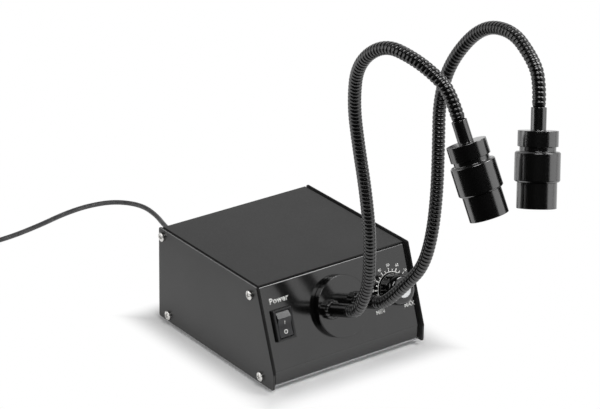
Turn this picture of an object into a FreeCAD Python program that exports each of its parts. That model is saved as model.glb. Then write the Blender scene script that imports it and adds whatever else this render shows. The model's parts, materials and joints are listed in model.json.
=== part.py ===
import FreeCAD, Part
import math
import os

Vec = FreeCAD.Vector
X = Vec(1, 0, 0)
Y = Vec(0, 1, 0)
Z = Vec(0, 0, 1)

# Frame: +X to the right along the front, +Y to the back, +Z up. All sizes are in millimetres.
# The model is drawn with its origin on the floor under the centre of the case. At the end it is moved
# so that the origin lies on the floor under the middle of the whole unit, its cord left out.

# Case
CASE_WIDTH = 126.0
CASE_DEPTH = 133.6
CASE_HEIGHT = 67.1
FLOOR_GAP = 3.0
SLOPE_SETBACK = 20.1
FRONT_UPRIGHT = 12.1
PLATE = 1.5
PLATE_CORNER = 1.5
SHEET = 1.2
SIDE_GAP = 0.3
COVER_DROP = 0.8
COVER_BEND = 1.6
COVER_FLANGE = 13.0
COVER_LIP = 12.0
BACK_INSET = 0.5
FIT = 0.05

# Front panel
PANEL = 2.0
PANEL_INSET = 3.0
PANEL_BEND = 1.6
PANEL_TOP_FLANGE = 9.0
PANEL_FOOT_FLANGE = 12.0
PANEL_FOOT_WIDTH = 104.0
COVER_SEAM = 0.6

# Base pan and rear panel
PAN_LIFT = 0.4
PAN_FLANGE = 11.5
PAN_REAR_FLANGE = 10.0
PAN_FRONT_INSET = 0.8
VENT_COUNT = 9
VENT_PITCH = 6.0
VENT_SIZE = (3.0, 24.0)
VENT_HEIGHT = 44.0
INTAKE_COUNT = 7
INTAKE_SIZE = (3.0, 30.0)
INTAKE_Y = -20.0

# Fasteners of the case, M3 pan heads in clinch nuts
SCREW_R = 1.5
SCREW_LENGTH = 6.0
SCREW_HEAD_R = 3.2
SCREW_HEAD = 2.2
SCREW_HOLE_R = 1.65
NUT_R = 2.5
NUT_LENGTH = 2.2
CROSS = (3.4, 0.8, 1.1)
SIDE_SCREW_TOP_BACK = (4.6, 5.7)
SIDE_SCREW_TOP_FRONT = (26.7, 7.7)
SIDE_SCREW_FOOT_BACK = (11.9, 4.9)
SIDE_SCREW_FOOT_FRONT = (13.8, 5.3)
REAR_SCREW_X = 45.0
REAR_SCREW_TOP = 8.0
REAR_SCREW_FOOT = 6.0
FOOT_SCREW = (35.0, 7.0)

# Feet
FOOT_R = 6.0
FOOT_X = 49.0
FOOT_Y = 51.0

# Controls on the front panel, measured from the centre and up the slope from its fold
CONTROL_RISE = 29.86
SWITCH_U = -46.3
DIAL_U = 44.4

# Rocker switch
BEZEL = (15.0, 21.0, 2.3)
BEZEL_EDGE = 0.6
SWITCH_BODY = (12.6, 19.2, 17.0)
SWITCH_WELL = (11.0, 18.0, 6.5)
SWITCH_BLADE = 7.0
ROCKER_WIDTH = 10.4
ROCKER_HALF = 7.6
ROCKER_TIP = 3.8
ROCKER_DIP = 1.6
ROCKER_DEPTH = 4.0
ROCKER_PIVOT = -1.0
ROCKER_TILT = 9.0
ROCKER_PIN_R = 1.0
ROCKER_PIN_REACH = 0.5
TERMINAL_BLADE = (0.8, 4.8)
TERMINAL_PITCH = 6.0

# Potentiometer and knob
POT_R = 8.0
POT_LENGTH = 9.0
POT_THREAD_R = 3.5
POT_THREAD = 5.0
POT_PIN = 6.0
POT_PIN_PITCH = 5.0
POT_PIN_DROP = 5.5
POT_PIN_SIZE = (0.8, 1.0)
POT_NUT_R = 5.6
POT_NUT = 2.2
SHAFT_R = 3.0
SHAFT_REACH = 10.0
KNOB_R = 10.8
KNOB_GAP = 0.6
KNOB_SIDE = 8.0
KNOB_TOP = 13.0
KNOB_TOP_R = 7.6
KNOB_SKIRT_WELL = 3.4
KNOB_WELL_R = 8.2
CAP_R = 6.8
CAP_PROUD = 0.7
CAP_SEAT = 1.2
POINTER_WIDTH = 1.0
POINTER_DEPTH = 0.5
POINTER_REST = 135.0

# Light port and lamp, along the port's axis behind the panel
PORT_R = 12.0
PORT_LENGTH = 24.0
PORT_FLANGE_R = 19.5
PORT_FLANGE = 3.0
PORT_SCREWS = 3
PORT_SCREW_CIRCLE_R = 16.0
PORT_SCREW_HEAD_R = 3.0
PORT_SCREW_SINK = 1.6
PORT_SCREW_SLACK = 0.1
HOLDER_R = 14.0
HOLDER_OVERLAP = 8.0
HOLDER_WEB = 1.5
HOLDER_APERTURE_R = 6.5
HOLDER_LENGTH = 13.0
HOLDER_FLANGE = 3.0
HOLDER_FLANGE_R = 16.5
CONDENSER_R = 8.0
CONDENSER_RIM = 2.0
CONDENSER_CROWN = 3.5
CONDENSER_SETBACK = 4.0
LED_BOARD = 1.6
LED_BASE = (4.0, 4.0, 0.7)
LED_DOME_R = 1.6
SINK_SIDE = 34.0
SINK_BASE = 3.0
SINK_FIN = 1.4
SINK_FINS = 9
SINK_FIN_LENGTH = 10.0
FAN_SIDE = 30.0
FAN_DEPTH = 8.0
FAN_BORE_R = 14.0
FAN_HUB_R = 6.0
FAN_BLADES = 7
FAN_BLADE_R = 13.3
FAN_BLADE = 0.9
FAN_BLADE_CHORD = 6.0
FAN_BLADE_ANGLE = 38.0
FAN_SPINDLE_R = 1.0
FAN_PLATE = 1.2
FAN_STRUT = 2.0
FAN_RUNNING_GAP = 0.6

# Driver board
BOARD = (76.0, 40.0, 1.6)
BOARD_REAR_GAP = 8.0
STANDOFF = 6.0
STANDOFF_R = 2.5
STANDOFF_INSET = 4.0
STANDOFF_PEG_R = 1.4
STANDOFF_BARB = (1.9, 1.4)
CAPACITOR_R = 5.0
CAPACITOR_LENGTH = 16.0
CAPACITOR_PLACES = ((-24.0, 8.0), (-10.0, 8.0))
TERMINAL_BLOCK = (22.0, 8.0, 9.0)
TERMINAL_BLOCK_PLACE = (16.0, 12.0)
TERMINAL_SCREW_R = 1.6
TERMINAL_SCREW_PITCH = 5.0
TERMINAL_SCREW_DEPTH = 3.0

# Light guide block and the two rigid sleeves on it
GUIDE_R = 21.0
GUIDE_THICK = 5.0
GUIDE_EDGE = 0.6
STEM_R = 7.0
STEM_SEAT = 1.0
BUNDLE_R = 4.0
BRANCH_U = 11.0
BRANCH_RISE = 0.7
GLAND_R = 6.6
GLAND_TIP_R = 5.3
GLAND_SIDE = 3.2
GLAND_LENGTH = 4.6
GLAND_FLUTES = 12
GLAND_FLUTE_R = 0.8
SLEEVE_R = 4.6
SLEEVE_BORE_R = 4.3
SLEEVE_SEAT = 2.0
SLEEVE_REACH = 22.0
FIBRE_CHANNEL_HALF = 2.5
FIBRE_SLACK = 0.2

# Gooseneck hose and the fibres in it
HOSE_R = 4.2
HOSE_BORE_R = 2.6
FIBRE_R = 2.3
HOSE_START = 18.0
HOSE_LEAD = 9.5
HOSE_TAIL = 14.5
BALL_R = 4.05
FIBRE_GAP = 0.3
FIBRE_REACH = 3.0
LEAN_LIMIT = 20.0
SWING_OUT_LIMIT = 40.0
TILT_LIMIT = 30.0

# Corner points of the two necks between sleeve and head, chosen by hand. The lists part where the
# neck leans and where its arch swings, in the middle of the run from one list to the next.
NECK_1_BASE = [(-10.0, -95.5, 74.5), (-13.0, -100.5, 94.5)]
NECK_1_RISER = [
    (-16.5, -104.0, 119.5), (-21.5, -104.5, 151.0), (-27.0, -103.5, 181.0), (-34.0, -106.0, 212.0),
    (-40.5, -117.0, 244.0), (-39.5, -141.0, 263.5),
]
NECK_1_CROWN = [(-35.5, -164.5, 261.0), (-30.5, -181.0, 253.0)]
NECK_2_BASE = [(16.5, -102.5, 73.5), (19.5, -115.0, 90.0)]
NECK_2_RISER = [
    (20.5, -121.5, 115.0), (22.0, -122.5, 145.0), (22.0, -122.0, 176.0), (24.0, -118.5, 206.0),
    (24.5, -127.5, 235.0), (28.5, -150.0, 263.5),
]
NECK_2_CROWN = [(27.5, -179.0, 270.0), (26.5, -198.5, 259.0)]
HEAD_1_TOP = (-26.5, -195.5, 232.5)
HEAD_2_TOP = (22.5, -211.5, 235.0)
HEAD_1_AIM = (0.091, -0.419, -0.903)
HEAD_2_AIM = (-0.211, -0.279, -0.937)

# Heads, measured along the head's axis from the end of the hose
HEAD_SLEEVE_R = 4.7
HEAD_SLEEVE = 16.0
HEAD_CAP_R = 12.2
HEAD_CAP = 9.5
HEAD_GROOVE_R = 10.9
HEAD_GROOVE = 2.9
HEAD_BODY_R = 13.7
HEAD_BODY = 18.0
HEAD_WALL = 2.3
HEAD_SPIGOT = 6.0
HEAD_CHAMFER = 0.8
HEAD_EDGE = 0.3
BARREL_R = 12.0
BARREL = 15.7
BARREL_SLEEVE = 10.0
BARREL_BORE_R = 9.6
BARREL_WEB = 1.2
BARREL_WEB_R = 8.2
BARREL_GAP = 0.1
HEAD_LENS_R = 9.5
HEAD_LENS_RIM = 2.5
HEAD_LENS_CROWN = 2.5
HEAD_LENS_RECESS = 1.5
HEAD_FIBRE_END = 3.0

# Supply cord on the floor behind the case, its coil and the plug-in adapter
CORD_R = 1.8
CORD_X = 14.0
CORD_EXIT_Z = 21.0
GROMMET = 20.0
GROMMET_R = 4.6
GROMMET_TIP_R = 2.7
GROMMET_COLLAR_R = 6.0
GROMMET_COLLAR = 2.0
GROMMET_WAIST_R = 3.6
CORD_ROUTE = [
    (14.0, 98.0, 21.0), (15.0, 130.0, 12.0), (17.5, 160.0, 1.8), (22.0, 186.0, 1.8), (28.0, 208.0, 1.8),
    (28.5, 229.0, 1.8), (16.0, 245.0, 1.8), (-4.0, 250.0, 1.8), (-27.0, 248.0, 1.8), (-54.0, 240.5, 1.8),
    (-84.0, 235.0, 1.8), (-115.0, 235.5, 1.8), (-144.0, 235.0, 1.8),
]
COIL_CENTRE = (-170.0, 208.0)
COIL_MEAN_R = 20.5
COIL_TURNS_WIDE = 4
COIL_TURNS_HIGH = 2
TAIL_ROUTE = [(-197.0, 194.0, 6.5), (-198.5, 182.0, 12.0)]
ADAPTER = (38.0, 62.0, 30.0)
ADAPTER_CENTRE = (-198.0, 127.0)
ADAPTER_EDGE = 3.0
ADAPTER_NOSE = 12.0
ADAPTER_NOSE_R = 4.0
ADAPTER_NOSE_TIP_R = 2.6
PIN_R = 2.0
PIN_LENGTH = 19.0
PIN_SPACING = 19.0
PIN_TIP = 1.0

# Inner wiring
WIRE_R = 0.9
WIRE_STUB = 7.0
WIRE_LOW = 2.5
WIRE_HIGH = 6.0

# Derived places of the case
half_width = CASE_WIDTH / 2
half_depth = CASE_DEPTH / 2
plate_foot = FLOOR_GAP
plate_top = FLOOR_GAP + CASE_HEIGHT
slope_foot = plate_foot + FRONT_UPRIGHT
slope_angle = math.degrees(math.atan2(SLOPE_SETBACK, CASE_HEIGHT - FRONT_UPRIGHT))
slope_tan = math.tan(math.radians(slope_angle))
slope_cos = math.cos(math.radians(slope_angle))
control_row = math.hypot(SLOPE_SETBACK, CASE_HEIGHT - FRONT_UPRIGHT) - CONTROL_RISE
inner_half = half_width - PLATE - SIDE_GAP
flange_half = inner_half - SHEET
cover_top = plate_top - COVER_DROP
cover_under = cover_top - SHEET
pan_under = plate_foot + PAN_LIFT
pan_top = pan_under + SHEET
lip_back = half_depth - BACK_INSET
rear_back = lip_back - SHEET
rear_front = rear_back - SHEET
outward = Vec(0, -slope_cos, math.sin(math.radians(slope_angle)))
down_slope = Vec(0, -math.sin(math.radians(slope_angle)), -slope_cos)
panel_turn = FreeCAD.Rotation(X, 90 - slope_angle)


def front_y(height, inset):
    """Y of the case's front outline at a height, moved inwards by inset."""
    if height >= slope_foot:
        return -half_depth + (height - slope_foot) * slope_tan + inset / slope_cos
    return -half_depth + inset


def on_panel(across, down, out=0.0):
    """A point on the front panel's outer face, or that far in front of it."""
    corner = Vec(0, -half_depth + SLOPE_SETBACK, plate_top)
    return corner + X * across + down_slope * down + outward * (out - PANEL_INSET)


def panel_frame(across):
    """The placement whose Z points out of the front panel, Y up its slope, on the row of controls."""
    return FreeCAD.Placement(on_panel(across, control_row), panel_turn)


def axis_frame(point, direction):
    """The placement whose origin is point and whose Z is direction."""
    return FreeCAD.Placement(Vec(*point), FreeCAD.Rotation(Z, Vec(*direction)))


def placed(shape, frame):
    """A copy of shape, moved from its own frame to a placement."""
    moved = shape.copy()
    moved.Placement = frame.multiply(moved.Placement)
    return moved


def block(low, high):
    size = [b - a for a, b in zip(low, high)]
    return Part.makeBox(size[0], size[1], size[2], Vec(*low))


def centred_block(width, length, low, high):
    return block((-width / 2, -length / 2, low), (width / 2, length / 2, high))


def rod(radius, low, high, at=(0, 0)):
    return Part.makeCylinder(radius, high - low, Vec(at[0], at[1], low), Z)


def turned(outline):
    """A solid of revolution about Z from (radius, height) points."""
    points = [Vec(r, 0, h) for r, h in outline]
    face = Part.Face(Part.makePolygon(points + points[:1]))
    return face.revolve(Vec(0, 0, 0), Z, 360)


def prism_x(outline, low, high):
    """A solid from (y, z) points, drawn out along X."""
    points = [Vec(low, y, z) for y, z in outline]
    face = Part.Face(Part.makePolygon(points + points[:1]))
    return face.extrude(X * (high - low))


def edges_along(shape, axis, wanted):
    """The straight edges that run along an axis and whose middle is wanted."""
    found = []
    for edge in shape.Edges:
        if edge.Curve.TypeId != "Part::GeomLine":
            continue
        start, end = edge.Vertexes[0].Point, edge.Vertexes[-1].Point
        if (end - start).cross(axis).Length < 1e-6 and wanted((start + end) / 2):
            found.append(edge)
    return found


def cone_lens(radius, rim, crown):
    """A plano-convex lens on Z: flat at 0, rim up to rim, and a spherical crown."""
    sphere_r = (radius ** 2 + crown ** 2) / (2 * crown)
    ball = Part.makeSphere(sphere_r, Vec(0, 0, rim + crown - sphere_r))
    return rod(radius, 0, rim + crown).common(ball)


def pan_screw():
    """A pan-head screw with a cross recess: the head sits on Z = 0 and the shank goes down."""
    dome = SCREW_HEAD_R * 2.2
    head = rod(SCREW_HEAD_R, 0, SCREW_HEAD).common(
        Part.makeSphere(dome, Vec(0, 0, SCREW_HEAD - dome)))
    long, wide, deep = CROSS
    cross = centred_block(long, wide, SCREW_HEAD - deep, SCREW_HEAD)
    cross = cross.fuse(centred_block(wide, long, SCREW_HEAD - deep, SCREW_HEAD))
    return head.cut(cross).fuse(rod(SCREW_R, -SCREW_LENGTH, 0)).removeSplitter()


def clinch_nut():
    """A round clinch nut whose face lies on Z = 0, below the sheet."""
    return rod(NUT_R, -NUT_LENGTH, 0).cut(rod(SCREW_R + FIT, -NUT_LENGTH, 0))


# Where the case's screws go: head seat, direction out of the case, and the face under the nut

def side_screw_places():
    """(y, z) of the screws in a side plate."""
    back, top = half_depth, plate_top
    return [
        (back - SIDE_SCREW_TOP_BACK[0], top - SIDE_SCREW_TOP_BACK[1]),
        (-back + SIDE_SCREW_TOP_FRONT[0], top - SIDE_SCREW_TOP_FRONT[1]),
        (back - SIDE_SCREW_FOOT_BACK[0], plate_foot + SIDE_SCREW_FOOT_BACK[1]),
        (-back + SIDE_SCREW_FOOT_FRONT[0], plate_foot + SIDE_SCREW_FOOT_FRONT[1]),
    ]


def case_screw_places():
    """Each case screw as (head seat, outward direction, nut face)."""
    found = []
    for side in (-1, 1):
        for y, z in side_screw_places():
            found.append((Vec(side * half_width, y, z), X * side, Vec(side * flange_half, y, z)))
        top, foot = rear_top_screw_z, rear_foot_screw_z
        found.append((Vec(side * REAR_SCREW_X, lip_back, top), Y, Vec(side * REAR_SCREW_X, rear_front, top)))
        found.append((Vec(side * REAR_SCREW_X, rear_back, foot), Y,
                      Vec(side * REAR_SCREW_X, rear_front - SHEET, foot)))
        found.append((Vec(side * FOOT_SCREW[0], foot_screw_y, pan_under), -Z,
                      Vec(side * FOOT_SCREW[0], foot_screw_y, pan_top + PANEL)))
    return found


rear_top_screw_z = cover_top - REAR_SCREW_TOP
rear_foot_screw_z = pan_top + REAR_SCREW_FOOT
foot_screw_y = -half_depth + PANEL_INSET + FOOT_SCREW[1]


def drill_case(shape):
    """shape with the clearance holes of the case screws."""
    holes = []
    for seat, direction, nut_face in case_screw_places():
        length = (seat - nut_face).dot(direction) + 1.0
        holes.append(Part.makeCylinder(SCREW_HOLE_R, length, seat + direction * 0.5, -direction))
    return shape.cut(Part.makeCompound(holes))


# Case

def side_plate(side):
    outline = [
        (half_depth, plate_foot), (half_depth, plate_top), (front_y(plate_top, 0), plate_top),
        (-half_depth, slope_foot), (-half_depth, plate_foot),
    ]
    low = half_width - PLATE if side > 0 else -half_width
    plate = prism_x(outline, low, low + PLATE)
    plate = plate.makeFillet(PLATE_CORNER, edges_along(plate, X, lambda p: True))
    return drill_case(plate)


def top_cover():
    front = front_y(cover_under, PANEL_INSET) + COVER_SEAM
    flange_foot = cover_top - COVER_FLANGE
    shell = block((-inner_half, front, flange_foot), (inner_half, lip_back, cover_top))
    shell = shell.makeFillet(COVER_BEND, edges_along(shell, Y, lambda p: p.z > cover_under))
    hollow = block((-flange_half, front - 1, flange_foot - 1), (flange_half, lip_back + 1, cover_under))
    hollow = hollow.makeFillet(COVER_BEND - SHEET, edges_along(hollow, Y, lambda p: p.z > flange_foot))
    shell = shell.cut(hollow)
    # The side flanges stop behind the sloping front panel.
    behind = PANEL_INSET + PANEL + 0.5
    ahead = [(front - 20, flange_foot - 1), (front_y(flange_foot - 1, behind), flange_foot - 1),
             (front_y(cover_under, behind), cover_under), (front - 20, cover_under)]
    shell = shell.cut(prism_x(ahead, -half_width, half_width))
    lip = block((-flange_half, rear_back, cover_top - COVER_LIP), (flange_half, lip_back, cover_under))
    return drill_case(shell.fuse(lip).removeSplitter())


def front_panel():
    half = inner_half
    outer, inner = PANEL_INSET, PANEL_INSET + PANEL
    top = cover_under
    fold = slope_foot - outer * math.tan(math.radians(slope_angle / 2))
    inner_fold = slope_foot - inner * math.tan(math.radians(slope_angle / 2))
    outline = [
        (front_y(top, outer), top), (front_y(top, inner), top), (-half_depth + inner, inner_fold),
        (-half_depth + inner, pan_top), (-half_depth + outer, pan_top), (-half_depth + outer, fold),
    ]
    panel = prism_x(outline, -half, half)
    back = front_y(top, outer)
    reach = flange_half - COVER_BEND
    top_flange = block((-reach, back + PANEL / 2, top - PANEL), (reach, back + PANEL_TOP_FLANGE, top))
    foot_flange = block((-PANEL_FOOT_WIDTH / 2, -half_depth + outer + PANEL / 2, pan_top),
                        (PANEL_FOOT_WIDTH / 2, -half_depth + outer + PANEL_FOOT_FLANGE, pan_top + PANEL))
    panel = panel.fuse([top_flange, foot_flange]).removeSplitter()
    folds = edges_along(panel, X, lambda p: p.y < front_y(p.z, outer) + 0.01)
    panel = panel.makeFillet(PANEL_BEND, folds)
    depth = PANEL + 2
    hole = centred_block(SWITCH_BODY[0] + 2 * FIT, SWITCH_BODY[1] + 2 * FIT, -depth, 1)
    panel = panel.cut(placed(hole, panel_frame(SWITCH_U)))
    panel = panel.cut(placed(rod(POT_THREAD_R + FIT, -depth, 1), panel_frame(DIAL_U)))
    port = [rod(PORT_R + FIT, -depth, 1)]
    for angle in port_screw_angles():
        port.append(turn_z(countersink(PORT_SCREW_SLACK), PORT_SCREW_CIRCLE_R, angle))
    return drill_case(panel.cut(placed(Part.makeCompound(port), panel_frame(0))))


def base_pan():
    front = -half_depth + PANEL_INSET + PAN_FRONT_INSET
    flange_front = -half_depth + PANEL_INSET + PANEL + 0.5
    floor = block((-inner_half, front, pan_under), (inner_half, rear_front, pan_top))
    walls = []
    for side in (-1, 1):
        x0, x1 = sorted((side * inner_half, side * flange_half))
        walls.append(block((x0, flange_front, pan_under), (x1, rear_front, pan_under + PAN_FLANGE)))
    rear_half = flange_half - 2
    walls.append(block((-rear_half, rear_front - SHEET, pan_under),
                       (rear_half, rear_front, pan_top + PAN_REAR_FLANGE)))
    pan = floor.fuse(walls).removeSplitter()
    wide, long = INTAKE_SIZE
    slots = []
    for i in range(INTAKE_COUNT):
        x = (i - (INTAKE_COUNT - 1) / 2) * VENT_PITCH
        slots.append(block((x - wide / 2, INTAKE_Y - long / 2, pan_under - 1),
                           (x + wide / 2, INTAKE_Y + long / 2, pan_top + 1)))
    return drill_case(pan.cut(slots))


def rear_panel():
    half = flange_half - 0.3
    sheet = block((-half, rear_front, pan_top + 0.2), (half, rear_back, cover_under - 0.2))
    notch_x = half - 6
    notch_z = plate_top - SIDE_SCREW_TOP_BACK[1] - NUT_R - 2
    cuts = [block((-half - 1, rear_front - 1, notch_z), (-notch_x, rear_back + 1, plate_top)),
            block((notch_x, rear_front - 1, notch_z), (half + 1, rear_back + 1, plate_top))]
    wide, tall = VENT_SIZE
    for i in range(VENT_COUNT):
        x = (i - (VENT_COUNT - 1) / 2) * VENT_PITCH
        cuts.append(block((x - wide / 2, rear_front - 1, VENT_HEIGHT - tall / 2),
                          (x + wide / 2, rear_back + 1, VENT_HEIGHT + tall / 2)))
    cuts.append(Part.makeCylinder(GROMMET_WAIST_R + FIT, 4, Vec(CORD_X, rear_front - 1, CORD_EXIT_Z), Y))
    return drill_case(sheet.cut(cuts))


def rubber_feet():
    foot = turned([(0, 0), (FOOT_R - 0.6, 0), (FOOT_R, 0.6), (FOOT_R, pan_under), (0, pan_under)])
    places = [(x, y) for x in (-FOOT_X, FOOT_X) for y in (-FOOT_Y, FOOT_Y)]
    return Part.makeCompound([foot.translated(Vec(x, y, 0)) for x, y in places])


def case_screws():
    screw = pan_screw()
    return Part.makeCompound([placed(screw, axis_frame(seat, out)) for seat, out, _ in case_screw_places()])


def case_nuts():
    nut = clinch_nut()
    return Part.makeCompound([placed(nut, axis_frame(face, out)) for _, out, face in case_screw_places()])


# Rocker switch, in the panel's frame

def switch_body():
    wide, tall, proud = BEZEL
    bezel = centred_block(wide, tall, 0, proud)
    bezel = bezel.makeFillet(BEZEL_EDGE, [e for e in bezel.Edges if e.BoundBox.ZMax > proud - 0.01
                                          and e.BoundBox.ZMin > proud - 0.01])
    shell = bezel.fuse(centred_block(SWITCH_BODY[0], SWITCH_BODY[1], -SWITCH_BODY[2], 0)).removeSplitter()
    shell = shell.cut(centred_block(SWITCH_WELL[0], SWITCH_WELL[1], -SWITCH_WELL[2], proud + 1))
    reach = SWITCH_WELL[0] / 2 + ROCKER_PIN_REACH + FIT
    pivot = Part.makeCylinder(ROCKER_PIN_R + FIT, 2 * reach, Vec(-reach, 0, ROCKER_PIVOT), X)
    blade = centred_block(*TERMINAL_BLADE, -SWITCH_BODY[2] - SWITCH_BLADE, -SWITCH_BODY[2])
    blades = [blade.translated(Y * row * TERMINAL_PITCH) for row in (-1, 0, 1)]
    return placed(shell.cut(pivot).fuse(blades), panel_frame(SWITCH_U))


def switch_rocker():
    end_r = math.hypot(ROCKER_HALF, ROCKER_TIP - ROCKER_PIVOT)
    half = ROCKER_WIDTH / 2
    rocker = prism_x([(-end_r, ROCKER_TIP), (end_r, ROCKER_TIP), (end_r, -ROCKER_DEPTH),
                      (-end_r, -ROCKER_DEPTH)], -half, half)
    dip_r = (ROCKER_HALF ** 2 + ROCKER_DIP ** 2) / (2 * ROCKER_DIP)
    dip_centre = Vec(-ROCKER_WIDTH, 0, ROCKER_TIP - ROCKER_DIP + dip_r)
    rocker = rocker.cut(Part.makeCylinder(dip_r, 2 * ROCKER_WIDTH, dip_centre, X))
    drum = Part.makeCylinder(end_r, ROCKER_WIDTH, Vec(-half, 0, ROCKER_PIVOT), X)
    reach = SWITCH_WELL[0] / 2 + ROCKER_PIN_REACH
    pins = Part.makeCylinder(ROCKER_PIN_R, 2 * reach, Vec(-reach, 0, ROCKER_PIVOT), X)
    rocker = rocker.common(drum).fuse(pins).removeSplitter()
    rocker.rotate(Vec(0, 0, ROCKER_PIVOT), X, ROCKER_TILT)
    return placed(rocker, panel_frame(SWITCH_U))


# Dimmer, in the panel's frame

pot_pin_y = POT_R + 0.5


def dimmer_pot():
    can = rod(POT_R, -PANEL - POT_LENGTH, -PANEL).fuse(rod(POT_THREAD_R, -PANEL, POT_THREAD - PANEL))
    wide, thick = POT_PIN_SIZE
    pin = centred_block(wide, POT_PIN, -PANEL - POT_PIN_DROP - thick / 2, -PANEL - POT_PIN_DROP + thick / 2)
    pins = [pin.translated(Vec(row * POT_PIN_PITCH, -pot_pin_y, 0)) for row in (-1, 0, 1)]
    can = can.fuse(pins).removeSplitter()
    return placed(can.cut(rod(SHAFT_R + FIT, -PANEL - POT_LENGTH + 1, POT_THREAD)), panel_frame(DIAL_U))


def pot_nut():
    corners = [Vec(POT_NUT_R * math.cos(math.radians(a)), POT_NUT_R * math.sin(math.radians(a)), 0)
               for a in range(0, 360, 60)]
    nut = Part.Face(Part.makePolygon(corners + corners[:1])).extrude(Z * POT_NUT)
    return placed(nut.cut(rod(POT_THREAD_R + FIT, -1, POT_NUT + 1)), panel_frame(DIAL_U))


def pot_shaft():
    return placed(rod(SHAFT_R, -PANEL - POT_LENGTH + 1.2, SHAFT_REACH), panel_frame(DIAL_U))


def dimmer_knob():
    shoulder = [(KNOB_R - (KNOB_R - KNOB_TOP_R) * (1 - math.cos(math.radians(a))),
                 KNOB_SIDE + (KNOB_TOP - KNOB_SIDE) * math.sin(math.radians(a))) for a in range(0, 91, 15)]
    knob = turned([(0, KNOB_GAP), (KNOB_R - 0.4, KNOB_GAP), (KNOB_R, KNOB_GAP + 0.4)] + shoulder
                  + [(0, KNOB_TOP)])
    knob = knob.cut([rod(KNOB_WELL_R, 0, KNOB_SKIRT_WELL), rod(SHAFT_R + FIT, 0, SHAFT_REACH + FIT),
                     rod(CAP_R + FIT, KNOB_TOP - CAP_SEAT, KNOB_TOP + 1)])
    line = block((-POINTER_WIDTH / 2, KNOB_R - POINTER_DEPTH, KNOB_GAP + 1),
                 (POINTER_WIDTH / 2, KNOB_R + 1, KNOB_SIDE))
    line.rotate(Vec(0, 0, 0), Z, POINTER_REST)
    return placed(knob.cut(line), panel_frame(DIAL_U))


def knob_cap():
    seat = KNOB_TOP - CAP_SEAT
    cap = turned([(0, seat), (CAP_R, seat), (CAP_R, KNOB_TOP + CAP_PROUD - 0.3),
                  (CAP_R - 0.3, KNOB_TOP + CAP_PROUD), (0, KNOB_TOP + CAP_PROUD)])
    return placed(cap, panel_frame(DIAL_U))


# Light port and lamp, in the frame of the port

def port_screw_angles():
    return [90 + i * 360 / PORT_SCREWS for i in range(PORT_SCREWS)]


def turn_z(shape, radius, angle):
    """shape moved out to a radius and turned about Z."""
    moved = shape.translated(Vec(radius, 0, 0))
    moved.rotate(Vec(0, 0, 0), Z, angle)
    return moved


def countersink(slack):
    """The space of a countersunk screw whose head is flush with Z = 0."""
    head_r, shank_r, deep = PORT_SCREW_HEAD_R + slack, SCREW_R + slack, PORT_SCREW_SINK
    cone = Part.makeCone(shank_r, head_r, deep, Vec(0, 0, -deep), Z)
    return cone.fuse([rod(head_r, 0, 0.5), rod(shank_r, -PANEL - PORT_FLANGE - 1, -deep)])


def port_bushing():
    bushing = rod(PORT_R, -PORT_LENGTH, 0).fuse(rod(PORT_FLANGE_R, -PANEL - PORT_FLANGE, -PANEL))
    bushing = bushing.removeSplitter()
    cuts = [rod(STEM_R + FIT, -PORT_LENGTH, 0)]
    for angle in port_screw_angles():
        cuts.append(turn_z(rod(SCREW_R + FIT, -PANEL - PORT_FLANGE, -PANEL), PORT_SCREW_CIRCLE_R, angle))
    return placed(bushing.cut(cuts), panel_frame(0))


def port_screws():
    sunk = PORT_SCREW_SLACK
    screw = turned([(0, -sunk), (PORT_SCREW_HEAD_R - sunk, -sunk), (SCREW_R, -PORT_SCREW_SINK),
                    (SCREW_R, -SCREW_LENGTH), (0, -SCREW_LENGTH)])
    long, wide, deep = CROSS
    screw = screw.cut(centred_block(long, wide, -sunk - deep, 0))
    screws = [turn_z(screw, PORT_SCREW_CIRCLE_R, angle) for angle in port_screw_angles()]
    return placed(Part.makeCompound(screws), panel_frame(0))


holder_front = -PORT_LENGTH + HOLDER_OVERLAP
holder_web = -PORT_LENGTH - HOLDER_WEB
holder_back = -PORT_LENGTH - HOLDER_LENGTH
sink_back = holder_back - SINK_BASE - SINK_FIN_LENGTH
fan_back = sink_back - FAN_DEPTH


def lamp_holder():
    flange = holder_back + HOLDER_FLANGE
    bore = CONDENSER_R + 2 * FIT
    holder = turned([
        (PORT_R + FIT, holder_front), (HOLDER_R, holder_front), (HOLDER_R, flange), (HOLDER_FLANGE_R, flange),
        (HOLDER_FLANGE_R, holder_back), (bore, holder_back), (bore, holder_web),
        (HOLDER_APERTURE_R, holder_web), (HOLDER_APERTURE_R, -PORT_LENGTH), (PORT_R + FIT, -PORT_LENGTH),
    ])
    return placed(holder, panel_frame(0))


def condenser_lens():
    lens = cone_lens(CONDENSER_R, CONDENSER_RIM, CONDENSER_CROWN)
    return placed(lens.translated(Vec(0, 0, holder_web - CONDENSER_SETBACK - 0.5)), panel_frame(0))


def led_board():
    disc = rod(CONDENSER_R, holder_back, holder_back + LED_BOARD)
    return placed(disc, panel_frame(0))


def led_emitter():
    face = holder_back + LED_BOARD
    base = centred_block(LED_BASE[0], LED_BASE[1], face, face + LED_BASE[2])
    dome = Part.makeSphere(LED_DOME_R, Vec(0, 0, face + LED_BASE[2]), Z, 0, 90, 360)
    return placed(base.fuse(dome), panel_frame(0))


def heat_sink():
    base = centred_block(SINK_SIDE, SINK_SIDE, holder_back - SINK_BASE, holder_back)
    pitch = (SINK_SIDE - SINK_FIN) / (SINK_FINS - 1)
    fins = []
    for i in range(SINK_FINS):
        x = -SINK_SIDE / 2 + i * pitch
        fins.append(block((x, -SINK_SIDE / 2, sink_back),
                          (x + SINK_FIN, SINK_SIDE / 2, holder_back - SINK_BASE)))
    return placed(base.fuse(fins).removeSplitter(), panel_frame(0))


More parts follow.
